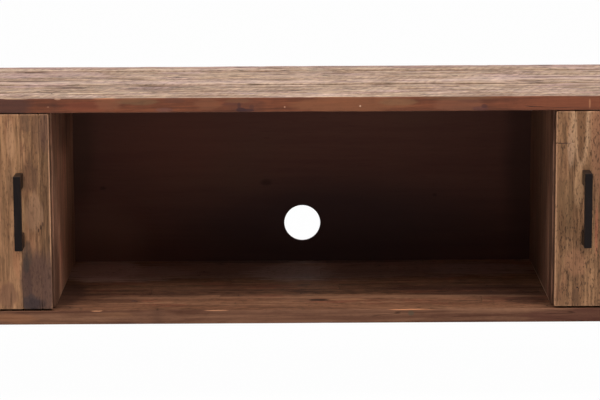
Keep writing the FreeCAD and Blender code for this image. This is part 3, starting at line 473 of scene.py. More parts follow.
def reclaimed_wood(name, deep, middle, pale, red, wear, cracked=0.6, flecked=(0.5, 1.0, 0.0), nailed=1.0,
                   mottled=(1.4, 48.0, 130.0), furrowed=0.0, sawn=0.0, rubbed=(0.30, 0.62), rough=0.5,
                   shine=0.25, edge=None, marks=()):
    """Old softwood with rings, streaks, fibres and worn arrises, all along the board's grain.

    Deep, middle, pale and red are the wood's colours, and wear is the colour of a rubbed arris.
    Cracked, nailed, furrowed and sawn are how strongly cracks, nail holes, furrows and saw marks show.
    Flecked is how dark the flecks are, how fine, and how far they spread.
    Mottled is how much the brightness changes over short stretches, and how fine that is along and across.
    Rubbed is how rare the worn places of the arrises are.
    Edge is the place, the dark and the light colour of a planed front edge.
    Marks are stains, knots, bare spots, painted shade and painted light: centre and radii in mm, colour,
    strength.
    """
    made, tree = surface(name)
    grain = tree.node("ShaderNodeAttribute", output="Vector", attribute_name="grain")
    seed = tree.node("ShaderNodeAttribute", output="Fac", attribute_name="seed")
    tone = tree.node("ShaderNodeAttribute", output="Fac", attribute_name="tone")
    arris = tree.node("ShaderNodeAttribute", output="Fac", attribute_name="arris")
    butt = tree.node("ShaderNodeAttribute", output="Fac", attribute_name="butt")
    place = object_place(tree)
    own = luck_of(grain, seed)
    chance = tree.node("ShaderNodeTexWhiteNoise", {"W": seed}, output="Color", noise_dimensions="1D")
    wander = own.stretched(2.2, 9.0, 9.0).noise(detail=2.0)
    lean = grain.axis(0) * ((chance.axis(1) - 0.5) * 0.14)
    across = grain.axis(1) + (chance.axis(0) - 0.5) * 0.16 + lean + (wander - 0.5) * 0.045
    through = grain.axis(2) + chance.axis(2) * 0.05 + 0.012
    heart = (across * across + through * through) ** 0.5
    ring = heart * 185.0 + wander * 2.0
    late = ring.math("FRACT", ring) ** 2.5
    streak = own.stretched(3.4, 62.0, 62.0).noise(detail=5.0, rough=0.65)
    fibre = own.stretched(26.0, 850.0, 850.0).noise(detail=3.0, rough=0.6)
    cloud = own.stretched(9.0, 22.0, 22.0).noise(detail=4.0, rough=0.6)
    stain = own.stretched(8.0, 20.0, 20.0).moved((7.3, 1.9, 4.4)).noise(detail=4.0, rough=0.6)
    amount, length_wise, cross_wise = mottled
    mottle_place = own.stretched(length_wise, cross_wise, cross_wise).moved((1.7, 8.2, 3.1))
    mottle = mottle_place.noise(detail=3.0, rough=0.62)
    colour = streak.step(0.28, 0.72).tint(deep, pale)
    colour = (cloud.step(0.35, 0.65) * 0.6).tint(colour, middle)
    colour = (late * 0.35).tint(colour, deep)
    colour = ((fibre - 0.5) * 0.9 + 0.15).most(0.0).tint(colour, pale)
    colour = (stain.step(0.50, 0.68) * 0.62).tint(colour, red)
    open_face = 1.0
    if edge:
        front, edge_deep, edge_pale = edge
        band = own.stretched(4.5, 40.0, 170.0).noise(detail=3.0, rough=0.6)
        planed = (streak * 0.35 + cloud * 0.2 + band * 0.45).step(0.36, 0.62).tint(edge_deep, edge_pale)
        planed = (late * 0.3).tint(planed, edge_deep)
        open_face = place.axis(1).step(front + 0.0004, front + 0.0022)
        colour = (1.0 - open_face).tint(colour, planed)
    rough_sawn = open_face * 0.75 + 0.25
    brightness = 1.0 + tone + (mottle - 0.5) * amount * rough_sawn
    colour = tree.node("ShaderNodeHueSaturation", {"Color": colour, "Value": brightness})
    dark = paint(29, 14, 6)
    fleck_dark, fine, spread = flecked
    dash_place = own.stretched(75.0 * fine, 210.0 * fine, 210.0 * fine)
    dash = dash_place.noise(detail=2.0, rough=0.5).step(0.54, 0.66)
    dash = dash * own.stretched(9.0, 26.0, 26.0).noise(detail=1.0).step(0.36 - spread, 0.56 - spread)
    pore = own.stretched(120.0, 620.0, 620.0).noise(detail=2.0, rough=0.6).step(0.56, 0.68)
    pore = pore * own.stretched(7.0, 30.0, 30.0).moved((2.0, 5.0, 1.0)).noise(detail=2.0).step(0.36, 0.60)
    fleck = dash.most(pore) * fleck_dark * rough_sawn
    split = abs(own.stretched(2.6, 46.0, 46.0).noise(detail=3.0, rough=0.5) - 0.5)
    dried_out = own.stretched(7.0, 17.0, 17.0).noise(detail=1.0).step(0.50, 0.60)
    crack = (1.0 - split.step(0.002, 0.013)) * dried_out * cracked
    hole_place = {"Vector": own, "Scale": 6.5, "Randomness": 1.0}
    to_nail = tree.node("ShaderNodeTexVoronoi", hole_place, voronoi_dimensions="2D")
    nail = (1.0 - to_nail.step(0.008, 0.013)) * nailed
    rust = (1.0 - to_nail.step(0.012, 0.10)) * (0.3 * nailed)
    height = fibre * 0.35 + streak * 0.6 - late * 0.25 - crack * 1.6 - nail * 2.5 - fleck * 0.7
    if furrowed:
        valley = furrows(own) * open_face
        colour = (valley * furrowed).tint(colour, deep)
        height = height - valley
    if sawn:
        kerf = (grain.axis(0) * 0.94 - grain.axis(1) * 0.34) * 470.0 + wander * 12.0
        left_rough = own.stretched(8.0, 14.0, 14.0).noise(detail=1.0).step(0.4, 0.6)
        saw = kerf.math("SINE", kerf) * left_rough * sawn * open_face
        colour = (saw * 0.5).most(0.0).tint(colour, deep)
        height = height + saw * 0.3
    rub = arris * (1.0 - butt * 0.45) * own.stretched(14.0, 40.0, 40.0).noise(detail=3.0).step(*rubbed)
    colour = (rub.step(0.2, 0.9) * 0.8).tint(colour, wear)
    rim = (own.stretched(18.0, 120.0, 120.0).noise(detail=4.0, rough=0.6) - 0.5) * 1.6
    for centre, radii, mark_colour, strength in marks:
        away = place.moved([-part / 1000 for part in centre]).stretched(*[1000 / part for part in radii])
        away = tree.node("ShaderNodeVectorMath", {0: away}, output="Value", operation="LENGTH")
        cover = (1.0 - away + rim * (1.25 - strength)).step(0.0, 0.4)
        colour = (cover * strength).tint(colour, mark_colour)
    colour = fleck.tint(colour, dark)
    colour = rust.tint(colour, paint(40, 28, 26))
    colour = crack.tint(colour, dark)
    colour = nail.tint(colour, paint(12, 9, 8))
    gloss = rough + (fibre - 0.5) * 0.2 + crack * 0.2 + late * 0.08
    close(tree, colour, gloss, height, depth=0.0005, strength=0.7, Specular_IOR_Level=shine)
    return made


# The front face of the top and the bottom, in metres.
BOARD_FRONT = -0.1875
BOTTOM_MARKS = (
    ((26, -113, 157), (21, 9, 3), paint(36, 22, 18), 0.85),
    ((70, -110.5, 157), (40, 9, 3), paint(150, 108, 78), 0.5),
    ((-276, -114.5, 157), (5, 4, 3), paint(52, 52, 62), 0.8),
    ((-300, -187.5, 150), (38, 3, 5), paint(138, 96, 68), 0.3),
    ((-466, -187.5, 146), (44, 3, 9), paint(140, 94, 66), 0.5),
    ((-238, -187.5, 146), (50, 3, 13), paint(118, 82, 63), 0.5),
    ((20, -187.5, 146), (240, 3, 14), paint(138, 98, 76), 0.2),
    # A pale film over the rear of the floor: partly dust, partly painted light from the bounce and the cable
    # hole.
    ((0, 140, 157), (430, 105, 3), paint(158, 128, 120), 0.5),
    # Painted shade on the floor beside the left divider's foot.
    ((-395, -60, 157), (46, 120, 3), paint(52, 33, 27), 0.7),
    ((-340, -100, 157), (80, 52, 3), paint(62, 38, 29), 0.5),
    # Painted light on the rear of the floor, where light from the cable hole and the bounce falls.
    ((-300, 105, 157), (130, 80, 3), paint(176, 140, 128), 0.6),
    ((-345, 135, 157), (85, 112, 3), paint(202, 164, 152), 0.7),
    ((-20, 112, 157), (88, 82, 3), paint(202, 172, 162), 0.42),
    # Painted shadow along the back of the floor, under the back panel.
    ((0, 208, 157), (250, 22, 3), paint(58, 38, 34), 0.55),
    # Painted light on the right rear of the floor.
    ((310, 130, 157), (110, 60, 3), paint(170, 136, 126), 0.5),
    # Painted shade: darker patches across the middle of the floor, behind its lit front strip.
    ((262, -26, 157), (190, 25, 3), paint(54, 32, 25), 0.75),
    ((340, -72, 157), (190, 23, 3), paint(56, 34, 26), 0.75),
    ((362, -126, 157), (45, 34, 3), paint(58, 36, 28), 0.62),
    ((345, -92, 157), (100, 42, 3), paint(58, 37, 29), 0.45),
    ((-165, -52, 157), (140, 55, 3), paint(84, 54, 42), 0.3),
    ((-215, -70, 157), (75, 18, 3), paint(58, 36, 28), 0.45),
    ((190, -90, 157), (230, 12, 3), paint(150, 110, 84), 0.32),
    ((-170, -92, 157), (190, 9, 3), paint(142, 102, 78), 0.4),
    ((172, -187.5, 151), (6, 3, 5), paint(84, 72, 58), 0.7),
    ((480, -187.5, 146), (150, 3, 16), paint(76, 43, 36), 0.65),
    ((174, -187.5, 157), (42, 3, 1.6), paint(196, 130, 92), 0.8),
    ((-330, -187.5, 157), (12, 3, 1.6), paint(190, 134, 98), 0.8),
    ((-138, -187.5, 157), (22, 3, 1.4), paint(186, 130, 96), 0.7),
)
oiled_brown = reclaimed_wood("oiled_brown_wood", paint(66, 38, 28), paint(116, 76, 55), paint(144, 102, 76),
                             paint(112, 62, 46), paint(176, 122, 86), cracked=0.5, flecked=(0.45, 1.3, 0.0),
                             rubbed=(0.62, 0.76), rough=0.65, shine=0.06,
                             edge=(BOARD_FRONT, paint(84, 53, 40), paint(130, 92, 70)), marks=BOTTOM_MARKS)
# Shares of each board's width that its strips take, and where the strips' ends meet, in mm from the middle.
BOTTOM_STRIPS = (
    ((0.43, ()), (0.35, (-430, 290)), (0.22, (-136, 470))),
    ((0.5, (-250, 390)), (0.5, (-590, 60))),
    ((0.38, (-120, 610)), (0.34, (-450, 300)), (0.28, (30,))),
    ((0.46, (-330, 420)), (0.54, (-40, 560))),
)
BOTTOM_TONES = (0.04, -0.04, -0.22, -0.48, -0.36, -0.08, 0.1, 0.25, 0.5, 0.6)
BOTTOM_COUNTS = (150, 16, 8)
BOTTOM_WEAR = (0.1, 0.4, 0.4, 0.1, 0.0)
# Strips stop this short of each other, so that no two faces lie in one place.
SEAM_GAP = 0.0001
draw = random.Random(41)
bottom_panel = (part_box("bottom_board_1")[0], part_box("bottom_board_4")[1])
tones = iter(BOTTOM_TONES)
for index, shares in enumerate(BOTTOM_STRIPS, 1):
    node = f"bottom_board_{index}"
    low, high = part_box(node)
    strips = []
    front = low.y
    for share, butts in shares:
        width = (high.y - low.y) * share
        tone = next(tones)
        cuts = [low.x, *[butt / 1000 for butt in butts], high.x]
        for start, end in zip(cuts, cuts[1:]):
            centre = ((start + end) / 2, front + width / 2, (low.z + high.z) / 2)
            strips.append((centre, (end - start - SEAM_GAP, width - SEAM_GAP, high.z - low.z),
                           draw.uniform(0.0, 9.0), tone + draw.uniform(-0.1, 0.1)))
        front += width
    boards = lay(f"bottom_strips_{index}", strips, bottom_panel, BOTTOM_COUNTS, ALONG_LENGTH, BOTTOM_WEAR,
                 oiled_brown)
    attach(boards, "carcass")
    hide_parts(node)

# Uprights: two dividers beside the open bay and two end panels, each of upright strips glued edge to edge.
# Same old softwood, stained a little darker; dowels hold them to the top and the bottom.

UPRIGHT = {"grain_axis": (0, 0, 1), "width_axis": (0, 1, 0), "thickness_axis": (-1, 0, 0)}
UPRIGHT_MARKS = (
    # Painted shade on the left divider's face: low at its front, and along its top under the top boards.
    ((-398.5, -150, 190), (8, 85, 100), paint(64, 40, 31), 0.6),
    ((-398.5, 40, 476), (8, 190, 115), paint(52, 33, 27), 0.65),
    # A pale line along the foot of each divider's face.
    ((-398.5, 25.5, 158), (3, 190, 3), paint(190, 150, 122), 0.8),
    ((398.5, 25.5, 158), (3, 190, 3), paint(214, 178, 150), 0.9),
)
stained_brown = reclaimed_wood("stained_brown_wood", paint(70, 44, 34), paint(124, 86, 66),
                               paint(152, 110, 86), paint(116, 66, 52), paint(140, 100, 77), cracked=0.45,
                               flecked=(0.3, 1.0, 0.0), mottled=(0.9, 30.0, 110.0), shine=0.15,
                               marks=UPRIGHT_MARKS)
# Brightness of each divider's strips, front to back. The left divider's carry painted light: lightest in the
# middle of its depth, where the lamps' light falls off; the right divider's are made darker.
UPRIGHT_TONES = {
    "left_divider": (0.25, 0.55, 1.6, 1.3, 1.6, 0.9, 0.9, 0.7),
    "right_divider": (-0.3, 0.12, 0.0, -0.12, -0.2, -0.2, -0.1, -0.05),
}
# Widths of the strips from front to back, in mm. In metres: what is left over joins the last strip if it is
# narrower than NARROWEST, LIP is the end panel's thickness behind the back panel, HAIR counts as nothing.
UPRIGHT_WIDTHS = (46, 33, 58, 41, 52, 37, 60, 48)
NARROWEST = 0.02
LIP = 0.0098
UPRIGHT_COUNTS = (70, 14, 8)
UPRIGHT_WEAR = (0.08, 0.8, 0.6, 0.15, 0.0)
PANEL_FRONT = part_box("back_panel")[0].y
HAIR = 0.001
draw = random.Random(58)
for name in both("divider", "side_panel"):
    low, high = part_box(name)
    strips = []
    front = low.y
    for width, tone in zip(UPRIGHT_WIDTHS, UPRIGHT_TONES.get(name, [0.0] * len(UPRIGHT_WIDTHS))):
        end = min(front + width / 1000, PANEL_FRONT)
        if PANEL_FRONT - end < NARROWEST:
            end = PANEL_FRONT
        if end - front < HAIR:
            break
        centre = ((low.x + high.x) / 2, (front + end) / 2, (low.z + high.z) / 2)
        strips.append((centre, (high.z - low.z, end - front - SEAM_GAP, high.x - low.x),
                       draw.uniform(0.0, 9.0), tone + draw.uniform(-0.12, 0.12)))
        front = end
    if high.y > PANEL_FRONT + HAIR:
        outside = math.copysign(max(abs(low.x), abs(high.x)), low.x)
        centre = (outside - math.copysign(LIP / 2, outside), (PANEL_FRONT + high.y) / 2, (low.z + high.z) / 2)
        strips.append((centre, (high.z - low.z, high.y - PANEL_FRONT - 2 * SEAM_GAP, LIP),
                       draw.uniform(0.0, 9.0), 0.0))
    boards = lay(f"{name}_strips", strips, (low, high), UPRIGHT_COUNTS, UPRIGHT, UPRIGHT_WEAR, stained_brown)
    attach(boards, "carcass")
    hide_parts(name)

# Dowels: plain beech pins, glued half into an upright and half into the top or the bottom.
# They are out of sight once the stand is glued up.

beech, tree = surface("plain_beech")
place = object_place(tree)
pores = place.stretched(900.0, 900.0, 60.0).noise(detail=2.0)
beech_colour = pores.step(0.35, 0.65).tint(paint(196, 158, 112), paint(214, 182, 138))
close(tree, beech_colour, 0.6, pores, depth=0.0002)
finish(beech, "carcass_dowels")

# Back panel: a thin dark-stained sheet with a round cable hole, let into rebates of the end panels.
# Pan head screws through the sheet hold it to the rear edges of the four uprights.

stained_sheet, tree = surface("dark_stained_sheet")
place = object_place(tree)
long_grain = place.stretched(5.0, 40.0, 70.0).noise(detail=5.0, rough=0.6)
pores = place.stretched(40.0, 700.0, 700.0).noise(detail=2.0, rough=0.6)
patchy = place.stretched(4.0, 4.0, 7.0).noise(detail=3.0)
sheet_colour = (long_grain.step(0.2, 0.8) * 0.8).tint(paint(92, 58, 50), paint(107, 70, 59))
sheet_colour = (patchy.step(0.45, 0.7) * 0.5).tint(sheet_colour, paint(96, 68, 56))
sheet_colour = (pores.step(0.62, 0.75) * 0.35).tint(sheet_colour, paint(58, 36, 30))
# Clouds on the bay's side of the sheet only. The dark ones are painted shade: low in the middle and along
# both ends beside the dividers; the pale ones lighten its left half. Place along and up, half length and half
# height, in mm, then colour and strength.
SHEET_SHADE_AND_PALE_CLOUDS = (
    ((58, 216), (335, 108), paint(65, 47, 46), 0.82),
    ((-355, 190), (95, 75), paint(132, 92, 78), 0.6),
    ((392, 330), (44, 230), paint(66, 44, 38), 0.7),
    ((-392, 380), (36, 130), paint(76, 54, 44), 0.6),
    ((-220, 360), (130, 90), paint(112, 66, 54), 0.35),
)
bay_side = 1.0 - place.axis(1).step(PANEL_FRONT + 0.001, PANEL_FRONT + 0.004)
for (along, up), (reach, rise), cloud_colour, strength in SHEET_SHADE_AND_PALE_CLOUDS:
    cloud = place.moved((-along / 1000, 0.0, -up / 1000)).stretched(1000 / reach, 0.0, 1000 / rise)
    cloud = tree.node("ShaderNodeVectorMath", {0: cloud}, output="Value", operation="LENGTH")
    cloud = 1.0 - (cloud + (patchy - 0.5) * 0.7).step(0.35, 1.15)
    sheet_colour = (cloud * bay_side * strength).tint(sheet_colour, cloud_colour)
# Knots of the sheet's face: place along and up, and half length, in mm.
SHEET_KNOTS = ((-348, 288, 8), (-63, 296, 13), (232, 273, 7))
for along, up, reach in SHEET_KNOTS:
    knot = place.moved((-along / 1000, 0.0, -up / 1000)).stretched(1000 / reach, 0.0, 1600 / reach)
    knot = tree.node("ShaderNodeVectorMath", {0: knot}, output="Value", operation="LENGTH")
    knot = 1.0 - (knot + (long_grain - 0.5) * 1.5).step(0.2, 1.0)
    sheet_colour = (knot * 0.42).tint(sheet_colour, paint(34, 23, 20))
close(tree, sheet_colour, 0.66 + pores * 0.15, long_grain * 0.5 + pores * 0.5, depth=0.0003, strength=0.5,
      Specular_IOR_Level=0.1)
finish(stained_sheet, "back_panel")
BACK_SCREW = (2.7, 3.5, 2.0, 1.75)
drive_screws("back_panel_screws", (0, 1, 0), BACK_SCREW, zinc_plate, "carcass")

# Top: five wide old boards glued side by side, weathered so that the hard grain stands up in ridges.
# Greyed on its face, red-brown on its front edge; it rests on the uprights and their dowels.

TOP_MARKS = (
    ((-474, -187.5, 488), (56, 3, 30), paint(73, 44, 36), 0.8),
    ((-340, -187.5, 486), (60, 3, 9), paint(124, 62, 40), 0.5),
    ((-304, -187.5, 491), (26, 3, 14), paint(132, 82, 57), 0.5),
    ((-262, -187.5, 494), (44, 3, 7), paint(112, 84, 58), 0.5),
    ((-218, -187.5, 480), (14, 3, 4), paint(102, 70, 66), 0.45),
    ((-202, -187.5, 495), (20, 3, 5), paint(92, 54, 40), 0.5),
    ((-148, -187.5, 488), (26, 3, 12), paint(124, 78, 54), 0.4),
    ((-92, -187.5, 487), (40, 3, 15), paint(84, 48, 35), 0.5),
    ((-104, -187.5, 495), (26, 3, 5), paint(118, 82, 56), 0.3),
    ((-112, -187.5, 489), (20, 3, 3), paint(78, 44, 36), 0.45),
    ((-97, -187.5, 480), (10, 3, 4.5), paint(48, 26, 30), 0.8),
    ((-100, -187.5, 486), (3.4, 3, 6), paint(58, 32, 32), 0.6),
    ((-86, -187.5, 479), (12, 3, 3.2), paint(56, 31, 33), 0.75),
    ((-80, -187.5, 484), (5, 3, 5), paint(66, 38, 34), 0.5),
    ((72, -187.5, 487), (110, 3, 17), paint(134, 84, 55), 0.5),
    ((150, -187.5, 492), (36, 3, 7), paint(126, 90, 62), 0.45),
    ((248, -187.5, 487), (48, 3, 14), paint(126, 78, 56), 0.5),
    ((238, -187.5, 498), (70, 3, 5), paint(104, 76, 50), 0.35),
    ((262, -187.5, 492), (22, 3, 2.6), paint(92, 54, 40), 0.45),
    ((281, -187.5, 480), (15, 3, 4), paint(80, 47, 45), 0.6),
    ((287, -187.5, 484), (6, 3, 4), paint(62, 35, 36), 0.65),
    ((420, -187.5, 485), (150, 3, 14), paint(126, 68, 44), 0.4),
    ((-452, -187.5, 500), (26, 3, 2.4), paint(176, 138, 108), 0.6),
    ((-310, -187.5, 499), (24, 3, 1.4), paint(172, 106, 68), 0.7),
    ((-386, -187.5, 498.5), (6, 3, 1.6), paint(196, 150, 120), 0.7),
    ((91, -187.5, 485), (1.8, 3, 1.6), paint(208, 168, 142), 0.8),
    ((-28, -187.5, 484), (1.6, 3, 1.6), paint(190, 140, 112), 0.8),
    ((-401, -187.5, 486), (2.4, 3, 1.0), paint(180, 128, 100), 0.5),
    ((453, -187.5, 487), (1.6, 3, 9), paint(178, 122, 86), 0.5),
    # Painted shade along the top's back arris.
    ((0, 214, 500), (1500, 18, 6), paint(150, 120, 112), 0.55),
    ((-250, 186, 500), (560, 8, 6), paint(202, 176, 154), 0.5),
    ((-430, 130, 500), (130, 50, 6), paint(164, 134, 128), 0.4),
    ((-250, 10, 500), (620, 20, 6), paint(192, 164, 155), 0.35),
    ((440, 52, 500), (190, 32, 6), paint(192, 164, 157), 0.5),
    ((-100, 46, 499), (90, 6, 6), paint(112, 84, 82), 0.5),
    # Painted shade: a dark line at the foot of the step up to the third board from the front.
    ((-100, -23, 499), (1300, 5, 6), paint(108, 76, 62), 0.6),
    ((150, -11, 500), (1300, 5, 6), paint(206, 176, 152), 0.35),
    ((440, 54, 499), (170, 8, 8), paint(98, 69, 57), 0.8),
    ((-455, 30, 499), (110, 10, 8), paint(80, 54, 42), 0.85),
    ((-222, -38, 499), (56, 10, 8), paint(86, 60, 48), 0.85),
    ((-378, -42, 499), (30, 10, 8), paint(92, 65, 53), 0.8),
    ((-43, 122, 499), (20, 8, 6), paint(94, 70, 64), 0.6),
    ((82, 3, 499), (48, 6, 6), paint(102, 74, 64), 0.6),
    ((23, 168, 499), (24, 11, 6), paint(130, 122, 110), 0.5),
    ((9, -138, 499), (28, 9, 6), paint(136, 116, 114), 0.6),
    ((-90, -142, 499), (26, 10, 6), paint(148, 122, 124), 0.55),
    ((343, -5, 499), (14, 7, 6), paint(98, 72, 62), 0.6),
    ((422, 218, 499), (16, 9, 6), paint(88, 68, 62), 0.7),
    ((264, 25, 500), (130, 11, 6), paint(202, 174, 162), 0.5),
)
weathered = reclaimed_wood("weathered_top_wood", paint(102, 73, 58), paint(167, 138, 110),
                           paint(191, 163, 139), paint(174, 142, 137), paint(191, 152, 126), cracked=0.9,
                           flecked=(0.45, 1.0, 0.0), mottled=(1.7, 62.0, 45.0), furrowed=0.75, sawn=0.8,
                           rubbed=(0.6, 0.78), rough=0.62, shine=0.25,
                           edge=(BOARD_FRONT, paint(76, 40, 25), paint(121, 66, 41)), marks=TOP_MARKS)
TOP_COUNTS = (220, 44, 9)
TOP_WEAR = (0.9, 0.6, 0.6, 0.3, 1.5)
TOP_TONES = (0.0, -0.03, 0.01, -0.06, 0.0)
# How far each board lies under the highest one, in mm.
TOP_DROPS = (0.3, 1.5, 0.0, 1.4, 0.2)
draw = random.Random(73)
top_panel = (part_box("top_board_1")[0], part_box("top_board_5")[1])
for index, (tone, drop) in enumerate(zip(TOP_TONES, TOP_DROPS), 1):
    node = f"top_board_{index}"
    low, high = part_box(node)
    high.z -= drop / 1000
    centre = tuple((low + high) / 2)
    size = (high.x - low.x, high.y - low.y - 2 * SEAM_GAP, high.z - low.z)
    plank = [(centre, size, draw.uniform(0.0, 9.0), tone)]
    boards = lay(f"top_plank_{index}", plank, top_panel, TOP_COUNTS, ALONG_LENGTH, TOP_WEAR, weathered)
    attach(boards, "carcass")
    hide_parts(node)

# Hinges: pressed steel butt hinges, two to a door, lacquered black, with five knuckles round a headed pin.
# Flat head screws hold one leaf to the end panel's front edge and the other to the back of the door.

hinge_black, tree = surface("lacquered_hinge_steel")
place = object_place(tree)
rolled = place.stretched(500.0, 500.0, 60.0).noise(detail=3.0, rough=0.6)
bright = place.noise(scale=120.0, detail=4.0, rough=0.65).step(0.60, 0.72)
hinge_colour = bright.tint(paint(34, 33, 33), paint(92, 88, 84))
close(tree, hinge_colour, 0.38 + rolled * 0.2, rolled, depth=0.00008, strength=0.5, Metallic=0.85)
for tier in ("upper", "lower"):
    finish(hinge_black, *both(f"{tier}_hinge_side_leaf", f"{tier}_hinge_door_leaf", f"{tier}_hinge_pin"))
HINGE_SCREW = (2.7, 1.5, 1.25, 1.5)
drive_screws("hinge_side_screws", (0, -1, 0), HINGE_SCREW, hinge_black, "carcass")
for hand in ("left", "right"):
    drive_screws(f"{hand}_hinge_door_screws", (0, 1, 0), HINGE_SCREW, hinge_black, f"{hand}_door")

# Catches: a moulded plastic housing with a magnet, screwed to each divider's outer face just behind the door.
# A zinc plated strike plate on the back of the door meets the magnet when the door is shut.

finish(moulded_black, *both("catch_housing"))
nickel, tree = surface("nickel_plated_magnet")
place = object_place(tree)
lapped = place.stretched(300.0, 300.0, 1500.0).noise(detail=2.0)
nickel_colour = lapped.step(0.3, 0.7).tint(paint(150, 148, 144), paint(184, 182, 178))
close(tree, nickel_colour, 0.25 + lapped * 0.2, lapped, depth=0.00005, strength=0.4, Metallic=1.0)
finish(nickel, *both("catch_magnet"))
finish(zinc_plate, *both("strike_plate"))
CATCH_SCREW = (2.7, 1.5, 1.25, 1.5)
STRIKE_SCREW = (2.6, 1.5, 1.2, 1.5)
drive_screws("catch_screws", (1, 0, 0), CATCH_SCREW, zinc_plate, "carcass")
for hand in ("left", "right"):
    drive_screws(f"{hand}_strike_screw", (0, 1, 0), STRIKE_SCREW, zinc_plate, f"{hand}_door")

# Doors: upright strips of mixed old boards glued into a panel, sanded and waxed, with pale worn arrises.
# Each hangs on its outer edge and carries its pull near the open bay.

DOOR = {"grain_axis": (0, 0, 1), "width_axis": (1, 0, 0), "thickness_axis": (0, 1, 0)}
# Strips from the open bay outwards: width in mm and tone. The right door's first strip is pieced, at a height
# in metres.
DOOR_STRIPS = {
    "left": ((16, -0.34), (30.5, -0.08), (60, 0.24), (48, -0.05), (71, 0.1), (55, -0.12), (66, 0.06),
             (60, -0.04)),
    "right": ((30, -0.1), (58, -0.06), (64, -0.06), (47, 0.1), (70, -0.1), (52, 0.08), (80, 0.0)),
}
BUTT_JOINT = 0.4237
DOOR_SEAM_GAP = 0.00004
DOOR_COUNTS = (70, 14, 8)
DOOR_WEAR = (0.05, 1.6, 0.6, 0.1, 0.0)
DOOR_MARKS = {
    "left": (
        ((-408, -186.5, 448), (10, 6, 44), paint(98, 66, 54), 0.55),
        ((-438, -186.5, 460), (10, 6, 20), paint(96, 68, 52), 0.6),
        ((-462, -186.5, 436), (8, 6, 40), paint(182, 136, 100), 0.6),
        ((-464, -186.5, 370), (7, 6, 30), paint(150, 112, 82), 0.5),
        # Painted shadow of the pull, to its right.
        ((-432, -186.5, 374), (16, 6, 32), paint(92, 64, 49), 0.5),
        ((-428, -186.5, 318), (18, 6, 36), paint(158, 118, 90), 0.6),
        ((-421, -186.5, 445), (9, 6, 40), paint(100, 70, 54), 0.4),
        ((-420, -186.5, 198), (33, 6, 70), paint(93, 66, 55), 0.92),
        ((-442, -186.5, 202), (11, 6, 56), paint(80, 57, 49), 0.85),
        ((-440, -186.5, 246), (10, 6, 30), paint(66, 56, 49), 0.6),
        ((-435, -186.5, 171), (19, 6, 16), paint(66, 52, 50), 0.75),
        ((-428, -186.5, 168), (18, 6, 11), paint(44, 34, 38), 0.5),
        ((-457, -186.5, 240), (7, 6, 40), paint(166, 110, 77), 0.45),
        ((-472, -186.5, 182), (18, 6, 24), paint(110, 75, 58), 0.6),
        # Painted shade on the door's inner edge face.
        ((-400.8, -172.5, 317), (1.2, 9, 300), paint(70, 42, 32), 0.85),
        ((-420.5, -186.5, 288), (1.5, 6, 4), paint(44, 28, 20), 0.8),
        ((-417, -186.5, 293), (1.5, 6, 5), paint(44, 28, 20), 0.8),
        ((-413.5, -186.5, 298), (1.3, 6, 4), paint(58, 38, 28), 0.7),
    ),
    "right": (
        ((440, -186.5, 480), (19, 6, 128), paint(188, 147, 112), 0.8),
        ((440.5, -186.5, 482), (11.5, 6, 100), paint(114, 78, 52), 0.92),
        ((440.5, -186.5, 410), (7, 6, 20), paint(100, 68, 45), 0.7),
        ((413, -186.5, 423.7), (16, 6, 0.9), paint(70, 42, 30), 0.95),
        ((424, -186.5, 416), (6, 6, 36), paint(184, 146, 116), 0.45),
        # Painted light left of the pull, over the place where the pull's shadow falls.
        ((437, -186.5, 357), (10, 6, 42), paint(186, 142, 104), 0.7),
        ((467, -186.5, 285), (3, 6, 50), paint(168, 98, 72), 0.6),
        # Painted shade on the door's inner edge face.
        ((400.8, -172.5, 317), (1.2, 9, 300), paint(70, 42, 32), 0.85),
        ((468, -186.5, 420), (14, 6, 110), paint(140, 95, 70), 0.6),
        ((416, -186.5, 320), (16, 6, 60), paint(108, 80, 54), 0.5),
        ((411, -186.5, 285), (9, 6, 46), paint(90, 58, 36), 0.45),
        ((411, -186.5, 178), (9, 6, 22), paint(96, 64, 44), 0.45),
        ((433, -186.5, 232), (19, 6, 27), paint(162, 114, 83), 0.7),
        ((434, -186.5, 176), (7, 6, 16), paint(92, 64, 46), 0.65),
        ((437.4, -186.5, 190.8), (1.7, 6, 1.7), paint(26, 17, 13), 1.0),
    ),
}
DOOR_FLECKS = {"left": (0.34, 1.8, 0.0), "right": (0.62, 2.0, 0.08)}
draw = random.Random(97)
for hand, sign in (("left", -1), ("right", 1)):
    waxed = reclaimed_wood(f"waxed_{hand}_door_wood", paint(88, 56, 37), paint(130, 92, 64),
                           paint(164, 122, 87), paint(134, 88, 64), paint(188, 141, 108), cracked=0.4,
                           flecked=DOOR_FLECKS[hand], nailed=0.0, mottled=(2.1, 22.0, 240.0),
                           rubbed=(0.1, 0.3), shine=0.15, marks=DOOR_MARKS[hand])
    node = f"{hand}_door_panel"
    low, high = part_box(node)
    inner = min(abs(low.x), abs(high.x))
    outer = max(abs(low.x), abs(high.x))
    strips = []
    for index, (width, tone) in enumerate(DOOR_STRIPS[hand]):
        end = min(inner + width / 1000, outer)
        if index == len(DOOR_STRIPS[hand]) - 1:
            end = outer
        cuts = [low.z, high.z]
        if hand == "right" and index == 0:
            cuts = [low.z, BUTT_JOINT, high.z]
        for bottom, top in zip(cuts, cuts[1:]):
            centre = (sign * (inner + end) / 2, (low.y + high.y) / 2, (bottom + top) / 2)
            strips.append((centre, (top - bottom - SEAM_GAP, end - inner - DOOR_SEAM_GAP, high.y - low.y),
                           draw.uniform(0.0, 9.0), tone))
        inner = end
    boards = lay(f"{hand}_door_strips", strips, (low, high), DOOR_COUNTS, DOOR, DOOR_WEAR, waxed)
    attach(boards, f"{hand}_door")
    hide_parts(node)

# Pulls: square steel bars on two feet, sprayed matt black.
# A machine screw from behind the door holds each foot. Cloudy rubber bumpers soften the shutting door.

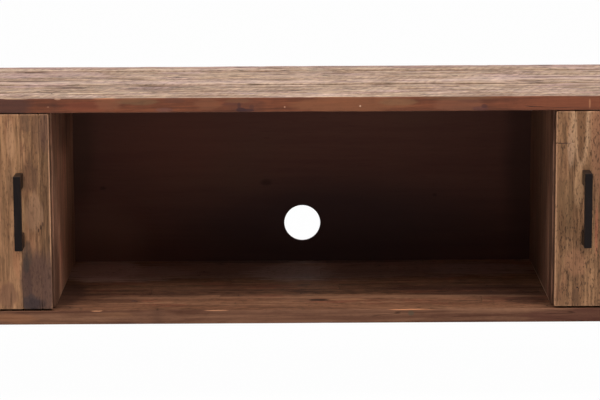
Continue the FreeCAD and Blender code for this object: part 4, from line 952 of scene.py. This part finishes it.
matt_black, tree = surface("matt_black_pull")
place = object_place(tree)
spray = place.noise(scale=1300.0, detail=2.0)
rubbed = place.stretched(70.0, 70.0, 16.0).noise(detail=4.0, rough=0.6).step(0.45, 0.8)
pull_colour = rubbed.tint(paint(23, 17, 16), paint(36, 26, 25))
close(tree, pull_colour, 0.34 - rubbed * 0.08, spray, depth=0.00012, strength=0.5, Specular_IOR_Level=0.08)
finish(matt_black, *both("pull"))
soft_clear, tree = surface("cloudy_rubber")
place = object_place(tree)
cloudy = place.noise(scale=420.0, detail=3.0)
rubber_colour = cloudy.step(0.3, 0.7).tint(paint(178, 174, 166), paint(204, 201, 195))
close(tree, rubber_colour, 0.5 + cloudy * 0.15, cloudy, depth=0.0001, strength=0.5)
finish(soft_clear, *both("door_bumpers"))
PULL_SCREW = (3.1, 4.0, 2.0, 2.0)
for hand in ("left", "right"):
    drive_screws(f"{hand}_pull_screws", (0, 1, 0), PULL_SCREW, zinc_plate, f"{hand}_door")

# Studio: a white floor without an edge, two large soft lamps before the front and one above the top.
# The floor and the sky look white to the camera and in reflections, and the floor keeps a faint shadow.

REACH = 60.0
FLOOR_GREY = (0.86, 0.86, 0.86, 1.0)
FLOOR_WHITENESS = 0.985
PURE_WHITE = (1.0, 1.0, 1.0, 1.0)
floor_mesh = bpy.data.meshes.new("studio_floor")
floor_mesh.from_pydata([(-REACH, -REACH, 0), (REACH, -REACH, 0), (REACH, REACH, 0), (-REACH, REACH, 0)],
                       [], [(0, 1, 2, 3)])
floor = bpy.data.objects.new("studio_floor", floor_mesh)
bpy.context.scene.collection.objects.link(floor)
white_floor, tree = surface("white_studio_floor")


def seen(tree):
    """1 for what the camera sees straight, in a mirror or through glass."""
    path = ("Is Camera Ray", "Is Glossy Ray", "Is Transmission Ray")
    rays = [tree.node("ShaderNodeLightPath", output=label) for label in path]
    return rays[0].most(rays[1]).most(rays[2])


matt = tree.node("ShaderNodeBsdfDiffuse", {"Color": FLOOR_GREY})
white = tree.node("ShaderNodeEmission", {"Color": PURE_WHITE, "Strength": 1.0})
mixed = tree.node("ShaderNodeMixShader", {0: seen(tree) * FLOOR_WHITENESS, 1: matt, 2: white})
tree.node("ShaderNodeOutputMaterial", {"Surface": mixed})
floor_mesh.materials.append(white_floor)

sky = bpy.data.worlds.new("white_sky")
bpy.context.scene.world = sky
sky.use_nodes = True
sky.node_tree.nodes.clear()
tree = Signal(sky.node_tree)
ambient = tree.node("ShaderNodeBackground", {"Color": PURE_WHITE, "Strength": 0.12})
backdrop = tree.node("ShaderNodeBackground", {"Color": PURE_WHITE, "Strength": 1.0})
mixed = tree.node("ShaderNodeMixShader", {0: seen(tree), 1: ambient, 2: backdrop})
tree.node("ShaderNodeOutputWorld", {"Surface": mixed})


def hang_lamp(name, spot, aim, width, watts):
    """A square soft lamp that the camera doesn't see."""
    lamp = bpy.data.lights.new(name, "AREA")
    lamp.shape = "SQUARE"
    lamp.size = width
    lamp.energy = watts
    holder = bpy.data.objects.new(name, lamp)
    holder.location = spot
    holder.rotation_euler = (Vector(aim) - Vector(spot)).to_track_quat("-Z", "Y").to_euler()
    holder.visible_camera = False
    bpy.context.scene.collection.objects.link(holder)


STAND_MIDDLE = (0.0, 0.0, 0.4)
hang_lamp("right_lamp", (1.6, -2.0, 3.9), STAND_MIDDLE, width=1.4, watts=122.0)
hang_lamp("left_lamp", (-1.4, -2.0, 3.9), STAND_MIDDLE, width=1.4, watts=88.0)
hang_lamp("top_lamp", (0.0, 0.6, 4.4), STAND_MIDDLE, width=2.4, watts=70.0)
bpy.context.scene.view_settings.view_transform = "Standard"

# Camera: a long lens four metres before the open bay and half a metre above the top, tilted down a little.
# The frame takes in the bay with the doors' inner edges. Place in metres, lens in mm, turns in degrees.

CAMERA_PLACE = (-0.0134, -4.0613, 1.0144)
CAMERA_TILT = 80.055
CAMERA_PAN = -0.129
CAMERA_ROLL = -0.294
lens = bpy.data.cameras.new("photo_camera")
lens.sensor_width = 36.0
lens.lens = 148.75
lens.clip_end = 200.0
camera = bpy.data.objects.new("photo_camera", lens)
tilt = Euler((math.radians(CAMERA_TILT), 0.0, math.radians(CAMERA_PAN))).to_matrix().to_4x4()
roll = Matrix.Rotation(math.radians(CAMERA_ROLL), 4, "Z")
camera.matrix_world = Matrix.Translation(CAMERA_PLACE) @ tilt @ roll
bpy.context.scene.collection.objects.link(camera)
bpy.context.scene.camera = camera
